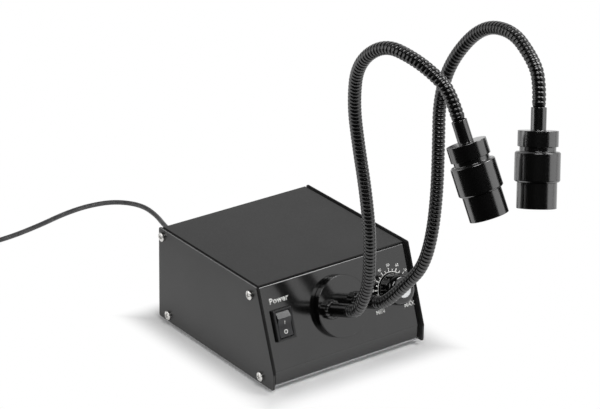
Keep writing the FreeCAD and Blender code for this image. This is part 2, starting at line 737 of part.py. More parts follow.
def fan_frame():
    frame = centred_block(FAN_SIDE, FAN_SIDE, fan_back, sink_back)
    frame = frame.cut(rod(FAN_BORE_R, fan_back - 1, sink_back + 1))
    struts = []
    for angle in range(0, 360, 90):
        strut = block((0, -FAN_STRUT / 2, fan_back), (FAN_BORE_R + 0.5, FAN_STRUT / 2, fan_back + FAN_PLATE))
        strut.rotate(Vec(0, 0, 0), Z, angle + 45)
        struts.append(strut)
    boss = rod(FAN_HUB_R, fan_back, fan_back + FAN_PLATE + 0.6)
    spindle = rod(FAN_SPINDLE_R, fan_back, sink_back - 1)
    return placed(frame.fuse(struts + [boss, spindle]).removeSplitter(), panel_frame(0))


def fan_rotor():
    low = fan_back + FAN_PLATE + 0.6 + FAN_RUNNING_GAP / 2
    high = sink_back - 0.6
    hub = rod(FAN_HUB_R, low, high)
    middle = (low + high) / 2
    blades = []
    for i in range(FAN_BLADES):
        blade = block((FAN_HUB_R - 0.5, -FAN_BLADE / 2, -FAN_BLADE_CHORD / 2),
                      (FAN_BLADE_R + 1, FAN_BLADE / 2, FAN_BLADE_CHORD / 2))
        blade.rotate(Vec(0, 0, 0), X, FAN_BLADE_ANGLE)
        blade.translate(Vec(0, 0, middle))
        blade.rotate(Vec(0, 0, 0), Z, i * 360 / FAN_BLADES)
        blades.append(blade.common(rod(FAN_BLADE_R, low, high)))
    rotor = hub.fuse(blades).removeSplitter().cut(rod(FAN_SPINDLE_R + FIT, low - 1, high + 1))
    return placed(rotor, panel_frame(0))


# Driver board

board_under = pan_top + STANDOFF
board_top = board_under + BOARD[2]
board_y = rear_front - BOARD_REAR_GAP - BOARD[1] / 2


def standoff_places():
    x = BOARD[0] / 2 - STANDOFF_INSET
    y = BOARD[1] / 2 - STANDOFF_INSET
    return [(sx * x, board_y + sy * y) for sx in (-1, 1) for sy in (-1, 1)]


def driver_board():
    board = centred_block(BOARD[0], BOARD[1], board_under, board_top).translated(Vec(0, board_y, 0))
    holes = [rod(STANDOFF_PEG_R + FIT, board_under - 1, board_top + 1, p) for p in standoff_places()]
    return board.cut(holes)


def board_standoffs():
    barb_r, barb = STANDOFF_BARB
    post = turned([
        (0, pan_top), (STANDOFF_R, pan_top), (STANDOFF_R, board_under), (STANDOFF_PEG_R, board_under),
        (STANDOFF_PEG_R, board_top), (barb_r, board_top), (STANDOFF_PEG_R - 0.5, board_top + barb),
        (0, board_top + barb),
    ])
    return Part.makeCompound([post.translated(Vec(x, y, 0)) for x, y in standoff_places()])


def board_capacitors():
    can = turned([(0, 0), (CAPACITOR_R - 0.4, 0), (CAPACITOR_R, 0.4), (CAPACITOR_R, 1.6),
                  (CAPACITOR_R - 0.4, 2.0),
                  (CAPACITOR_R, 2.4), (CAPACITOR_R, CAPACITOR_LENGTH - 0.4),
                  (CAPACITOR_R - 0.4, CAPACITOR_LENGTH), (0, CAPACITOR_LENGTH)])
    return Part.makeCompound([can.translated(Vec(x, board_y + y, board_top)) for x, y in CAPACITOR_PLACES])


def terminal_columns():
    return [(column - 1.5) * TERMINAL_SCREW_PITCH for column in range(4)]


def terminal_block():
    wide, deep, tall = TERMINAL_BLOCK
    shape = centred_block(wide, deep, 0, tall)
    wells = [rod(TERMINAL_SCREW_R, tall - TERMINAL_SCREW_DEPTH, tall + 1, (x, 0)) for x in terminal_columns()]
    shape = shape.cut(wells)
    return shape.translated(Vec(TERMINAL_BLOCK_PLACE[0], board_y + TERMINAL_BLOCK_PLACE[1], board_top))


# Light guide, in the frame of the port

def branch_places():
    return [(side * BRANCH_U, BRANCH_RISE) for side in (-1, 1)]


channel_low = STEM_SEAT
channel_high = GUIDE_THICK - SLEEVE_SEAT


def fibre_fork(slack):
    """The space of the fibres inside the block, where one bundle parts into two, smaller by slack."""
    half = FIBRE_CHANNEL_HALF - slack
    fork = block((-BRANCH_U, BRANCH_RISE - half, channel_low + slack),
                 (BRANCH_U, BRANCH_RISE + half, channel_high - slack))
    branches = [rod(half, channel_low + slack, channel_high - slack, place) for place in branch_places()]
    return fork.fuse(branches + [rod(BUNDLE_R + FIT - slack, channel_low, channel_high - slack)])


def guide_block():
    disc = rod(GUIDE_R, 0, GUIDE_THICK)
    rim = [e for e in disc.Edges if e.BoundBox.ZMin > GUIDE_THICK - 0.01]
    disc = disc.makeFillet(GUIDE_EDGE, rim)
    cuts = [rod(STEM_R + FIT, -1, STEM_SEAT), fibre_fork(0)]
    for place in branch_places():
        cuts.append(rod(SLEEVE_R + FIT, channel_high, GUIDE_THICK + 1, place))
    return placed(disc.cut(cuts), panel_frame(0))


def guide_stem():
    tube = rod(STEM_R, -PORT_LENGTH, STEM_SEAT - FIT)
    tube = tube.cut(rod(BUNDLE_R + FIT, -PORT_LENGTH - 1, STEM_SEAT + 1))
    return placed(tube, panel_frame(0))


def neck_glands():
    low, bore = GUIDE_THICK, SLEEVE_R + FIT
    nut = turned([
        (bore, low), (GLAND_R, low), (GLAND_R, low + GLAND_SIDE), (GLAND_TIP_R, low + GLAND_LENGTH),
        (bore, low + GLAND_LENGTH),
    ])
    flutes = []
    for i in range(GLAND_FLUTES):
        flute = rod(GLAND_FLUTE_R, low - 1, low + GLAND_LENGTH + 1)
        flutes.append(turn_z(flute, GLAND_R + GLAND_FLUTE_R / 2, i * 360 / GLAND_FLUTES))
    nut = nut.cut(flutes)
    nuts = [nut.translated(Vec(x, y, 0)) for x, y in branch_places()]
    return placed(Part.makeCompound(nuts), panel_frame(0))


def base_ferrules():
    low, high = channel_high, GUIDE_THICK + SLEEVE_REACH
    sleeve = rod(SLEEVE_R, low, high).cut(rod(SLEEVE_BORE_R, low - 1, high + 1))
    sleeve = sleeve.makeChamfer(0.25, [e for e in sleeve.Edges if e.BoundBox.ZMin > high - 0.01
                                       and e.BoundBox.XMax > SLEEVE_BORE_R + 0.1])
    sleeves = [sleeve.translated(Vec(x, y, 0)) for x, y in branch_places()]
    return placed(Part.makeCompound(sleeves), panel_frame(0))


# Routes: straight runs joined by tangent arcs

def rounded_route(points):
    """The edges of a route through corner points: runs, and arcs as large as both runs allow."""
    corners = []
    for before, corner, after in zip(points, points[1:], points[2:]):
        back, ahead = (before - corner), (after - corner)
        run = 0.45 * min(back.Length, ahead.Length)
        back.normalize()
        ahead.normalize()
        half_turn = (math.pi - back.getAngle(ahead)) / 2
        radius = run / math.tan(half_turn)
        middle = back + ahead
        middle.normalize()
        centre = corner + middle * (radius / math.cos(half_turn))
        corners.append((corner + back * run, centre - middle * radius, corner + ahead * run, radius))
    edges = []
    here = points[0]
    for start, top, end, radius in corners:
        edges.append(Part.LineSegment(here, start).toShape())
        edges.append(Part.Arc(start, top, end).toShape())
        here = end
    edges.append(Part.LineSegment(here, points[-1]).toShape())
    return edges, [c[3] for c in corners]


def pipe(edges, radius):
    """A round bar along edges that join smoothly."""
    path = Part.Wire(edges)
    first = edges[0]
    start = first.valueAt(first.FirstParameter)
    direction = first.tangentAt(first.FirstParameter)
    ring = Part.Wire([Part.makeCircle(radius, start, direction)])
    bar = path.makePipeShell([ring], True, False)
    return bar if bar.Volume > 0 else bar.reversed()


def cut_line(edges, run, point):
    """The route's edges before and after a point in the middle of a straight run."""
    index = 2 * run
    line = edges[index]
    start, end = line.valueAt(line.FirstParameter), line.valueAt(line.LastParameter)
    before = edges[:index] + [Part.LineSegment(start, point).toShape()]
    after = [Part.LineSegment(point, end).toShape()] + edges[index + 1:]
    return before, after


class Neck:
    """One gooseneck: its route, cut at the lean and swing points, and its head's frame."""

    def __init__(self, side, base, riser, crown, head_top, aim):
        row = control_row - BRANCH_RISE
        self.start = on_panel(side * BRANCH_U, row, HOSE_START)
        mouth = on_panel(side * BRANCH_U, row, GUIDE_THICK + SLEEVE_REACH)
        self.aim = Vec(*aim)
        self.aim.normalize()
        self.top = Vec(*head_top)
        points = [self.start, mouth + outward * HOSE_LEAD] + [Vec(*p) for p in base + riser + crown]
        points += [self.top - self.aim * HOSE_TAIL, self.top]
        edges, self.radii = rounded_route(points)
        lean_run = 1 + len(base)
        swing_run = lean_run + len(riser)
        self.lean = (points[lean_run] + points[lean_run + 1]) / 2
        self.swing = (points[swing_run] + points[swing_run + 1]) / 2
        lower, self.crown_edges = cut_line(edges, swing_run, self.swing)
        self.base_edges, self.riser_edges = cut_line(lower, lean_run, self.lean)
        self.lean_way = (points[lean_run + 1] - points[lean_run]).normalize()
        self.swing_way = (points[swing_run + 1] - points[swing_run]).normalize()


def socket_depth(limit):
    """How far a socket's rim stands from the ball's centre, to turn by limit without touching."""
    return (BALL_R + FIT) * math.sin(math.radians(limit)) + 0.2


def ball_end(centre, way):
    return Part.makeSphere(BALL_R, centre, way, 0, 90, 360)


def hollow(bar, edges):
    return bar.cut(pipe(edges, HOSE_BORE_R))


def with_ball(bar, centre, way):
    """bar with a ball on its far end, drilled through for the fibres."""
    ball = ball_end(centre, way).cut(Part.makeCylinder(HOSE_BORE_R, 2 * BALL_R, centre - way, way))
    return bar.fuse(ball)


def with_socket(bar, centre, way, limit):
    """bar with a hollow seat for the ball of the piece before it."""
    space = Part.makeCylinder(3 * HOSE_R, 20, centre - way * (20 - socket_depth(limit)), way)
    return bar.cut([space, Part.makeSphere(BALL_R + FIT, centre)])


def hose_base(neck):
    bar = hollow(pipe(neck.base_edges, HOSE_R), neck.base_edges)
    return with_ball(bar, neck.lean, neck.lean_way)


def hose_riser(neck):
    bar = hollow(pipe(neck.riser_edges, HOSE_R), neck.riser_edges)
    return with_ball(with_socket(bar, neck.lean, neck.lean_way, LEAN_LIMIT), neck.swing, neck.swing_way)


def hose_crown(neck):
    bar = hollow(pipe(neck.crown_edges, HOSE_R), neck.crown_edges)
    return with_ball(with_socket(bar, neck.swing, neck.swing_way, SWING_OUT_LIMIT), neck.top, neck.aim)


def fibres(edges, entry=None, leaving=None):
    """The fibre bundle along edges: clear of the ball it comes out of, and reaching into the next one."""
    bar = pipe(edges, FIBRE_R)
    if entry:
        centre, way = entry
        bar = bar.cut(Part.makeCylinder(2 * FIBRE_R, BALL_R + FIBRE_GAP, centre, way))
    if leaving:
        centre, way = leaving
        bar = bar.fuse(Part.makeCylinder(FIBRE_R, FIBRE_REACH, centre, way))
    return bar


def guide_fibres(necks):
    """The bundle in the stem, its fork in the block and both branches up to the lean points."""
    shapes = [fibre_fork(FIBRE_SLACK), rod(BUNDLE_R + FIT - FIBRE_SLACK, -PORT_LENGTH, channel_low)]
    for place in branch_places():
        shapes.append(rod(FIBRE_R, channel_low + FIBRE_SLACK, HOSE_START, place))
    fork = placed(shapes[0].fuse(shapes[1:]), panel_frame(0))
    branches = [fibres(neck.base_edges, leaving=(neck.lean, neck.lean_way)) for neck in necks]
    return fork.fuse(branches).removeSplitter()


# Heads, along Z from the end of the hose

head_cap_at = HEAD_SLEEVE
head_groove_at = head_cap_at + HEAD_CAP
head_body_at = head_groove_at + HEAD_GROOVE
head_body_end = head_body_at + HEAD_BODY
barrel_at = head_body_end + BARREL_GAP
barrel_end = barrel_at + BARREL
head_bore_r = HEAD_BODY_R - HEAD_WALL


def head_cap(frame):
    spigot = head_bore_r - FIT
    stem = turned([
        (0, 0), (HEAD_SLEEVE_R, 0), (HEAD_SLEEVE_R, head_cap_at), (HEAD_CAP_R - HEAD_EDGE, head_cap_at),
        (HEAD_CAP_R, head_cap_at + HEAD_EDGE), (HEAD_CAP_R, head_groove_at - HEAD_EDGE),
        (HEAD_CAP_R - HEAD_EDGE, head_groove_at), (HEAD_GROOVE_R, head_groove_at),
        (HEAD_GROOVE_R, head_body_at), (spigot, head_body_at), (spigot, head_body_at + HEAD_SPIGOT),
        (0, head_body_at + HEAD_SPIGOT),
    ])
    rim = socket_depth(TILT_LIMIT)
    cuts = [rod(3 * HEAD_SLEEVE_R, -5, rim), Part.makeSphere(BALL_R + FIT, Vec(0, 0, 0)),
            rod(HOSE_BORE_R, 0, head_body_at + HEAD_SPIGOT + 1)]
    return placed(stem.cut(cuts), frame)


def head_body(frame):
    low, high, r = head_body_at, head_body_end, HEAD_BODY_R
    tube = turned([
        (head_bore_r, low), (r - HEAD_CHAMFER, low), (r, low + HEAD_CHAMFER), (r, high - HEAD_CHAMFER),
        (r - HEAD_CHAMFER, high), (head_bore_r, high),
    ])
    return placed(tube, frame)


def head_barrel(frame):
    web = barrel_end - HEAD_LENS_RECESS - HEAD_LENS_RIM - HEAD_LENS_CROWN - BARREL_WEB
    barrel = turned([
        (BARREL_WEB_R, web), (BARREL_BORE_R, web), (BARREL_BORE_R, barrel_at - BARREL_SLEEVE),
        (head_bore_r - FIT, barrel_at - BARREL_SLEEVE), (head_bore_r - FIT, barrel_at), (BARREL_R, barrel_at),
        (BARREL_R, barrel_end - HEAD_EDGE), (BARREL_R - HEAD_EDGE, barrel_end), (BARREL_BORE_R, barrel_end),
        (BARREL_BORE_R, web + BARREL_WEB), (BARREL_WEB_R, web + BARREL_WEB),
    ])
    return placed(barrel, frame)


def head_lens(frame):
    low = barrel_end - HEAD_LENS_RECESS - HEAD_LENS_RIM - HEAD_LENS_CROWN
    lens = cone_lens(HEAD_LENS_R, HEAD_LENS_RIM, HEAD_LENS_CROWN)
    return placed(lens.translated(Vec(0, 0, low)), frame)


def head_fibre(frame):
    return placed(rod(FIBRE_R, BALL_R + FIBRE_GAP, head_body_at + HEAD_SPIGOT + HEAD_FIBRE_END), frame)


# Supply cord, coil and adapter

cord_exit = Vec(CORD_X, rear_back + GROMMET, CORD_EXIT_Z)
coil_height = 2 * CORD_R * COIL_TURNS_HIGH
coil_outer_r = COIL_MEAN_R + CORD_R * COIL_TURNS_WIDE
coil_inner_r = COIL_MEAN_R - CORD_R * COIL_TURNS_WIDE
coil_centre = Vec(COIL_CENTRE[0], COIL_CENTRE[1], 0)


def cord_grommet():
    inner = GROMMET_COLLAR + SHEET
    shape = turned([
        (CORD_R + FIT, -inner), (GROMMET_COLLAR_R - 1, -inner), (GROMMET_COLLAR_R - 1, -SHEET),
        (GROMMET_WAIST_R, -SHEET), (GROMMET_WAIST_R, 0), (GROMMET_COLLAR_R, 0),
        (GROMMET_COLLAR_R, GROMMET_COLLAR), (GROMMET_R, GROMMET_COLLAR), (GROMMET_TIP_R, GROMMET),
        (CORD_R + FIT, GROMMET),
    ])
    return placed(shape, axis_frame((CORD_X, rear_back, CORD_EXIT_Z), (0, 1, 0)))


def turn_place(angle, height):
    """A point on the centreline of the coil's outermost turn."""
    out = Vec(math.cos(math.radians(angle)), math.sin(math.radians(angle)), 0)
    return coil_centre + out * (coil_outer_r - CORD_R) + Z * height


def cord_tube(name, points):
    """A length of cord through corner points, ended on the coil's round outer face."""
    edges, radii = rounded_route(points)
    bar = pipe(edges, CORD_R)
    length = sum(e.Length for e in edges)
    print(name, "radii", [round(r, 1) for r in radii], "length", round(length, 1),
          "volume ratio", round(bar.Volume / (math.pi * CORD_R ** 2 * length), 4))
    return bar.cut(Part.makeCylinder(coil_outer_r, coil_height, coil_centre, Z))


def supply_cord():
    route = [Vec(*p) for p in CORD_ROUTE]
    return cord_tube("lead", [cord_exit - Y * GROMMET] + route + [turn_place(90, CORD_R)])


def cord_coil():
    ring = Part.makeCylinder(coil_outer_r, coil_height, coil_centre, Z)
    return ring.cut(Part.makeCylinder(coil_inner_r, coil_height, coil_centre, Z))


adapter_top_y = ADAPTER_CENTRE[1] + ADAPTER[1] / 2
adapter_cord_z = ADAPTER[2] / 2


def cord_tail():
    end = Vec(ADAPTER_CENTRE[0], adapter_top_y + ADAPTER_NOSE, adapter_cord_z)
    route = [Vec(*p) for p in TAIL_ROUTE]
    tail = cord_tube("tail", [turn_place(180, coil_height - CORD_R)] + route + [end])
    return tail.cut(adapter_body())


def adapter_body():
    x, y = ADAPTER_CENTRE
    wide, long, tall = ADAPTER
    case = block((x - wide / 2, y - long / 2, 0), (x + wide / 2, y + long / 2, tall))
    case = case.makeFillet(ADAPTER_EDGE, case.Edges)
    nose = Part.makeCone(ADAPTER_NOSE_R, ADAPTER_NOSE_TIP_R, ADAPTER_NOSE + 1,
                         Vec(x, adapter_top_y - 1, adapter_cord_z), Y)
    return case.fuse(nose).removeSplitter()


def adapter_pins():
    x, y = ADAPTER_CENTRE
    foot = y - ADAPTER[1] / 2
    pins = []
    for side in (-1, 1):
        pin = Part.makeCylinder(PIN_R, PIN_LENGTH, Vec(x + side * PIN_SPACING / 2, foot, ADAPTER[2] / 2), -Y)
        tip = [e for e in pin.Edges if e.BoundBox.YMax < foot - PIN_LENGTH + 0.01]
        pins.append(pin.makeFillet(PIN_TIP, tip))
    return Part.makeCompound(pins)


# Inner wiring

def part_way(start, end, share, lift):
    """A point a share of the way from start to end, lifted."""
    return start + (end - start) * share + Z * lift


def internal_wires():
    """Leads from the board's terminals to the cord entry, the switch, the dimmer, the fan and the lamp."""
    block_x, block_y = TERMINAL_BLOCK_PLACE[0], board_y + TERMINAL_BLOCK_PLACE[1]
    front, back = block_y - TERMINAL_BLOCK[1] / 2, block_y + TERMINAL_BLOCK[1] / 2
    low, high = board_top + WIRE_LOW, board_top + WIRE_HIGH
    columns = [block_x + x for x in terminal_columns()]
    switch_end = panel_frame(SWITCH_U).multVec(Vec(0, 0, -SWITCH_BODY[2] - SWITCH_BLADE))
    pot_end = panel_frame(DIAL_U).multVec(Vec(0, -pot_pin_y - POT_PIN / 2, -PANEL - POT_PIN_DROP))
    fan_end = panel_frame(0).multVec(Vec(FAN_SIDE / 2, -FAN_SIDE / 3, fan_back + FAN_DEPTH / 2))
    lamp_end = panel_frame(0).multVec(Vec(-HOLDER_FLANGE_R - FIT, 0, holder_back + HOLDER_FLANGE / 2))
    entry = Vec(CORD_X, rear_back - GROMMET_COLLAR - SHEET, CORD_EXIT_Z)
    stub, side = Y * WIRE_STUB, X * WIRE_STUB
    starts = [Vec(columns[0], front, low), Vec(columns[3], front, low), Vec(columns[2], front, low),
              Vec(columns[1], front, high)]
    to_switch, to_pot, to_fan, to_lamp = starts
    lamp_bend = part_way(to_lamp, lamp_end, 0.45, 12.0)
    lamp_bend.x = lamp_end.x - WIRE_STUB / 2
    routes = [
        [entry, entry - stub / 2, Vec(block_x, back + WIRE_STUB / 2, low), Vec(block_x, back, low)],
        [to_switch, to_switch - stub, part_way(to_switch, switch_end, 0.45, 2.0),
         part_way(to_switch, switch_end, 0.8, 4.0), switch_end - outward * WIRE_STUB, switch_end],
        [to_pot, to_pot - stub, part_way(to_pot, pot_end, 0.4, 4.0), part_way(to_pot, pot_end, 0.75, 0.0),
         pot_end + down_slope * WIRE_STUB, pot_end],
        [to_fan, to_fan - stub, fan_end + side + stub / 2, fan_end + side, fan_end],
        [to_lamp, to_lamp - stub, lamp_bend, lamp_end - side + stub / 2, lamp_end - side, lamp_end],
    ]
    return Part.makeCompound([pipe(rounded_route(route)[0], WIRE_R) for route in routes])


def build():
    necks = [Neck(-1, NECK_1_BASE, NECK_1_RISER, NECK_1_CROWN, HEAD_1_TOP, HEAD_1_AIM),
             Neck(1, NECK_2_BASE, NECK_2_RISER, NECK_2_CROWN, HEAD_2_TOP, HEAD_2_AIM)]
    for neck in necks:
        print("neck radii", [round(r, 1) for r in neck.radii])
    parts = {
        "base_pan": base_pan(), "top_cover": top_cover(), "front_panel": front_panel(),
        "rear_panel": rear_panel(), "side_plate_left": side_plate(-1), "side_plate_right": side_plate(1),
        "case_screws": case_screws(), "case_nuts": case_nuts(), "rubber_feet": rubber_feet(),
        "switch_body": switch_body(), "switch_rocker": switch_rocker(),
        "dimmer_pot": dimmer_pot(), "pot_nut": pot_nut(), "pot_shaft": pot_shaft(),
        "dimmer_knob": dimmer_knob(), "knob_cap": knob_cap(),
        "port_bushing": port_bushing(), "port_screws": port_screws(), "lamp_holder": lamp_holder(),
        "condenser_lens": condenser_lens(), "led_board": led_board(), "led_emitter": led_emitter(),
        "heat_sink": heat_sink(), "fan_frame": fan_frame(), "fan_rotor": fan_rotor(),
        "driver_board": driver_board(), "board_standoffs": board_standoffs(),
        "board_capacitors": board_capacitors(), "terminal_block": terminal_block(),
        "internal_wires": internal_wires(),
        "guide_block": guide_block(), "guide_stem": guide_stem(), "neck_glands": neck_glands(),
        "base_ferrules": base_ferrules(), "guide_fibres": guide_fibres(necks),
        "neck_bases": Part.makeCompound([hose_base(neck) for neck in necks]),
        "cord_grommet": cord_grommet(), "supply_cord": supply_cord(), "cord_coil": cord_coil(),
        "cord_tail": cord_tail(), "adapter_body": adapter_body(), "adapter_pins": adapter_pins(),
    }
    for number, neck in enumerate(necks, start=1):
        frame = axis_frame(neck.top, neck.aim)
        parts[f"neck_{number}_riser"] = hose_riser(neck)
        parts[f"neck_{number}_crown"] = hose_crown(neck)
        lean, swing, top = (neck.lean, neck.lean_way), (neck.swing, neck.swing_way), (neck.top, neck.aim)
        parts[f"fibres_{number}_riser"] = fibres(neck.riser_edges, entry=lean, leaving=swing)
        parts[f"fibres_{number}_crown"] = fibres(neck.crown_edges, entry=swing, leaving=top)
        parts[f"head_{number}_cap"] = head_cap(frame)
        parts[f"head_{number}_body"] = head_body(frame)
        parts[f"head_{number}_barrel"] = head_barrel(frame)
        parts[f"head_{number}_lens"] = head_lens(frame)
        parts[f"head_{number}_fibre"] = head_fibre(frame)
    return parts


CORD_PIECES = ("supply_cord", "cord_coil", "cord_tail", "adapter_body", "adapter_pins")


def unit_middle(parts):
    """The middle of the unit's floor plan, without its cord and what is on it."""
    unit = Part.makeCompound([shape for node, shape in parts.items() if node not in CORD_PIECES])
    box = unit.optimalBoundingBox(False, False)
    return Vec(box.Center.x, box.Center.y, 0)


os.makedirs("parts", exist_ok=True)
parts = build()
middle = unit_middle(parts)
print("origin", round(middle.x, 3), round(middle.y, 3))
for node, shape in parts.items():
    shape.translated(-middle).exportStep(f"parts/{node}.step")
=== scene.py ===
import json
import math

import bmesh
import bpy
from mathutils import Matrix, Vector


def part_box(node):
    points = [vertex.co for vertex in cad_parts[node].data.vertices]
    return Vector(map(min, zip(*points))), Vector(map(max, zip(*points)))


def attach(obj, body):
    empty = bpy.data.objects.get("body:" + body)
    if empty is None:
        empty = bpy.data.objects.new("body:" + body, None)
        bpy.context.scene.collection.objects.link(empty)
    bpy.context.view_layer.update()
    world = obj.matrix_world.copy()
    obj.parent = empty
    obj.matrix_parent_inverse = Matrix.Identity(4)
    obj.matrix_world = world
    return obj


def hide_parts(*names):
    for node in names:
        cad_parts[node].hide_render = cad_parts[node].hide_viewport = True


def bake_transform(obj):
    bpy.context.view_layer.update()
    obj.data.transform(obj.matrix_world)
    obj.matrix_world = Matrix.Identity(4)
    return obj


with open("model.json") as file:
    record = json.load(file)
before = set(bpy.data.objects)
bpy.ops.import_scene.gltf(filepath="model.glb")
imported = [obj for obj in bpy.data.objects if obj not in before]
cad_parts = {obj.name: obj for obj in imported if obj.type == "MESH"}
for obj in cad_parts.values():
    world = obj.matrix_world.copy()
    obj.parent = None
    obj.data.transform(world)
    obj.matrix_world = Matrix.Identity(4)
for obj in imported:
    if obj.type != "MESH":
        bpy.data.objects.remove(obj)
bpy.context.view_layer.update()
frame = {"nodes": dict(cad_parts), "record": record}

MM = 0.001
X = Vector((1, 0, 0))
Z = Vector((0, 0, 1))

# Places, in millimetres from the floor under the centre of the case

feet_low, feet_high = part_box("rubber_feet")
case_centre = Vector(((feet_low.x + feet_high.x) / 2, (feet_low.y + feet_high.y) / 2, feet_low.z))


def at(x, y, z):
    """A point in metres from a place in millimetres."""
    return case_centre + Vector((x, y, z)) * MM


CASE_HALF_DEPTH = 66.8
CASE_HALF_WIDTH = 63.0
SLOPE_SETBACK = 20.1
SLOPE_TOP = 70.1
SLOPE_FALL = 55.0
PANEL_INSET = 3.0
CONTROL_ROW = 28.7
SWITCH_ACROSS = -46.3
DIAL_ACROSS = 44.4

slope = math.atan2(SLOPE_SETBACK, SLOPE_FALL)
out_of_panel = Vector((0, -math.cos(slope), math.sin(slope)))
up_panel = Vector((0, math.sin(slope), math.cos(slope)))


def on_panel(across, down=CONTROL_ROW, out=0.0):
    """A point in millimetres: across the panel, down its slope and out from its face."""
    top = Vector((across, SLOPE_SETBACK - CASE_HALF_DEPTH, SLOPE_TOP))
    return top - up_panel * down + out_of_panel * (out - PANEL_INSET)


def panel_place(across, down=CONTROL_ROW, out=0.0):
    """The matrix that stands a piece drawn in millimetres, Z outwards, on the panel."""
    turn = Matrix((X, up_panel, out_of_panel)).transposed().to_4x4()
    return Matrix.Translation(at(*on_panel(across, down, out))) @ turn @ Matrix.Scale(MM, 4)


def axis_place(point, direction):
    """The same for a piece whose Z runs along a direction from a point in millimetres."""
    turn = Vector(direction).normalized().to_track_quat("Z", "Y").to_matrix().to_4x4()
    return Matrix.Translation(at(*point)) @ turn @ Matrix.Scale(MM, 4)


# Shader maths

class Value:
    """A shader value that takes part in Python expressions."""

    def __init__(self, finish, socket):
        self.finish = finish
        self.socket = socket

    def maths(self, operation, first, second=0.0):
        return self.finish.add("ShaderNodeMath", {"operation": operation}, {0: first, 1: second})

    def __add__(self, other):
        return self.maths("ADD", self, other)

    def __radd__(self, other):
        return self.maths("ADD", other, self)

    def __sub__(self, other):
        return self.maths("SUBTRACT", self, other)

    def __rsub__(self, other):
        return self.maths("SUBTRACT", other, self)

    def __mul__(self, other):
        return self.maths("MULTIPLY", self, other)

    def __rmul__(self, other):
        return self.maths("MULTIPLY", other, self)

    def __lt__(self, other):
        return self.maths("LESS_THAN", self, other)

    def __gt__(self, other):
        return self.maths("GREATER_THAN", self, other)

    def wave(self):
        return self.maths("SINE", self)

    def size(self):
        return self.maths("ABSOLUTE", self)


class Finish:
    """A material and the nodes that give it."""

    def __init__(self, name):
        self.material = bpy.data.materials.new(name)
        self.material.use_nodes = True
        self.tree = self.material.node_tree
        self.shader = self.tree.nodes["Principled BSDF"]

    def add(self, kind, settings=None, values=None, output=0):
        node = self.tree.nodes.new(kind)
        for key, setting in (settings or {}).items():
            if key == "stops":
                stops = node.color_ramp.elements
                for index, (position, tint) in enumerate(setting):
                    stop = stops[index] if index < 2 else stops.new(position)
                    stop.position = position
                    stop.color = tint
            else:
                setattr(node, key, setting)
        for key, value in (values or {}).items():
            self.join(value, node.inputs[key])
        return Value(self, node.outputs[output])

    def join(self, value, socket):
        if isinstance(value, Value):
            self.tree.links.new(value.socket, socket)
        else:
            socket.default_value = value

    def fixed(self, **levels):
        for name, level in levels.items():
            self.shader.inputs[name.replace("_", " ")].default_value = level
        return self

    def surface(self, name, value):
        self.join(value, self.shader.inputs[name])

    def place(self):
        return self.add("ShaderNodeTexCoord", output="Object")

    def noise(self, scale, detail=2.0, roughness=0.5, place=None):
        """Noise from 0 to 1, about one feature per 1/scale metres."""
        return self.add("ShaderNodeTexNoise", {}, {"Vector": place or self.place(), "Scale": scale,
                                                   "Detail": detail, "Roughness": roughness})

    def spread(self, value, low, high, start=0.3, end=0.7):
        """value from start to end becomes low to high."""
        return self.add("ShaderNodeMapRange", {}, {"Value": value, "From Min": start, "From Max": end,
                                                   "To Min": low, "To Max": high})

    def blend_colour(self, share, first, second):
        """Two colours mixed by a share."""
        return self.add("ShaderNodeMix", {"data_type": "RGBA"}, {0: share, 6: first, 7: second}, output=2)

    def stretched(self, scale, turn=(0, 0, 0)):
        values = {"Vector": self.place(), "Scale": scale, "Rotation": turn}
        return self.add("ShaderNodeMapping", {}, values)

    def along(self, direction, point):
        """Distance in metres along a direction from a point."""
        moved = self.add("ShaderNodeVectorMath", {"operation": "SUBTRACT"}, {0: self.place(), 1: point})
        return self.add("ShaderNodeVectorMath", {"operation": "DOT_PRODUCT"}, {0: moved, 1: direction},
                        output="Value")

    def aside(self, shift=0.0):
        """Distance in metres from a plane across the case, that many millimetres right of its middle."""
        return self.along((1, 0, 0), tuple(at(shift, 0, 0))).size()

    def tints(self, share, first, second):
        """The base colour is a mix of two."""
        self.surface("Base Color", self.blend_colour(share, first, second))

    def shades(self, share, tint, low, high):
        """The base colour runs between two shades of a tint."""
        self.tints(share, scaled(tint, low), scaled(tint, high))

    def rough(self, value, low, high, start=0.3, end=0.7):
        """The roughness follows a value, as spread makes it."""
        self.surface("Roughness", self.spread(value, low, high, start, end))

    def relief(self, height, distance):
        values = {"Height": height, "Distance": distance, "Strength": 1.0}
        self.surface("Normal", self.add("ShaderNodeBump", {}, values))


def colour(red, green=None, blue=None):
    """A colour, or with one number a grey."""
    return (red, red if green is None else green, red if blue is None else blue, 1.0)


def scaled(tint, factor):
    return tuple(c * factor for c in tint[:3]) + (1.0,)


# Finishes of the unit

JOINT_SHIFT = 0.9
# Black of the painted shade in the joints and along the plates' edges
PAINTED_SHADE_BLACK = colour(0.001)
COAT_SPREAD = 0.14
COAT_SHINE_SPREAD = 0.06
EDGE_DEPTH = 0.3
RIM_WIDTH = 0.5
# Colour of the painted highlight on the plates' outer top rim
PAINTED_RIM_HIGHLIGHT = colour(0.32)
RING_PITCH = 0.35


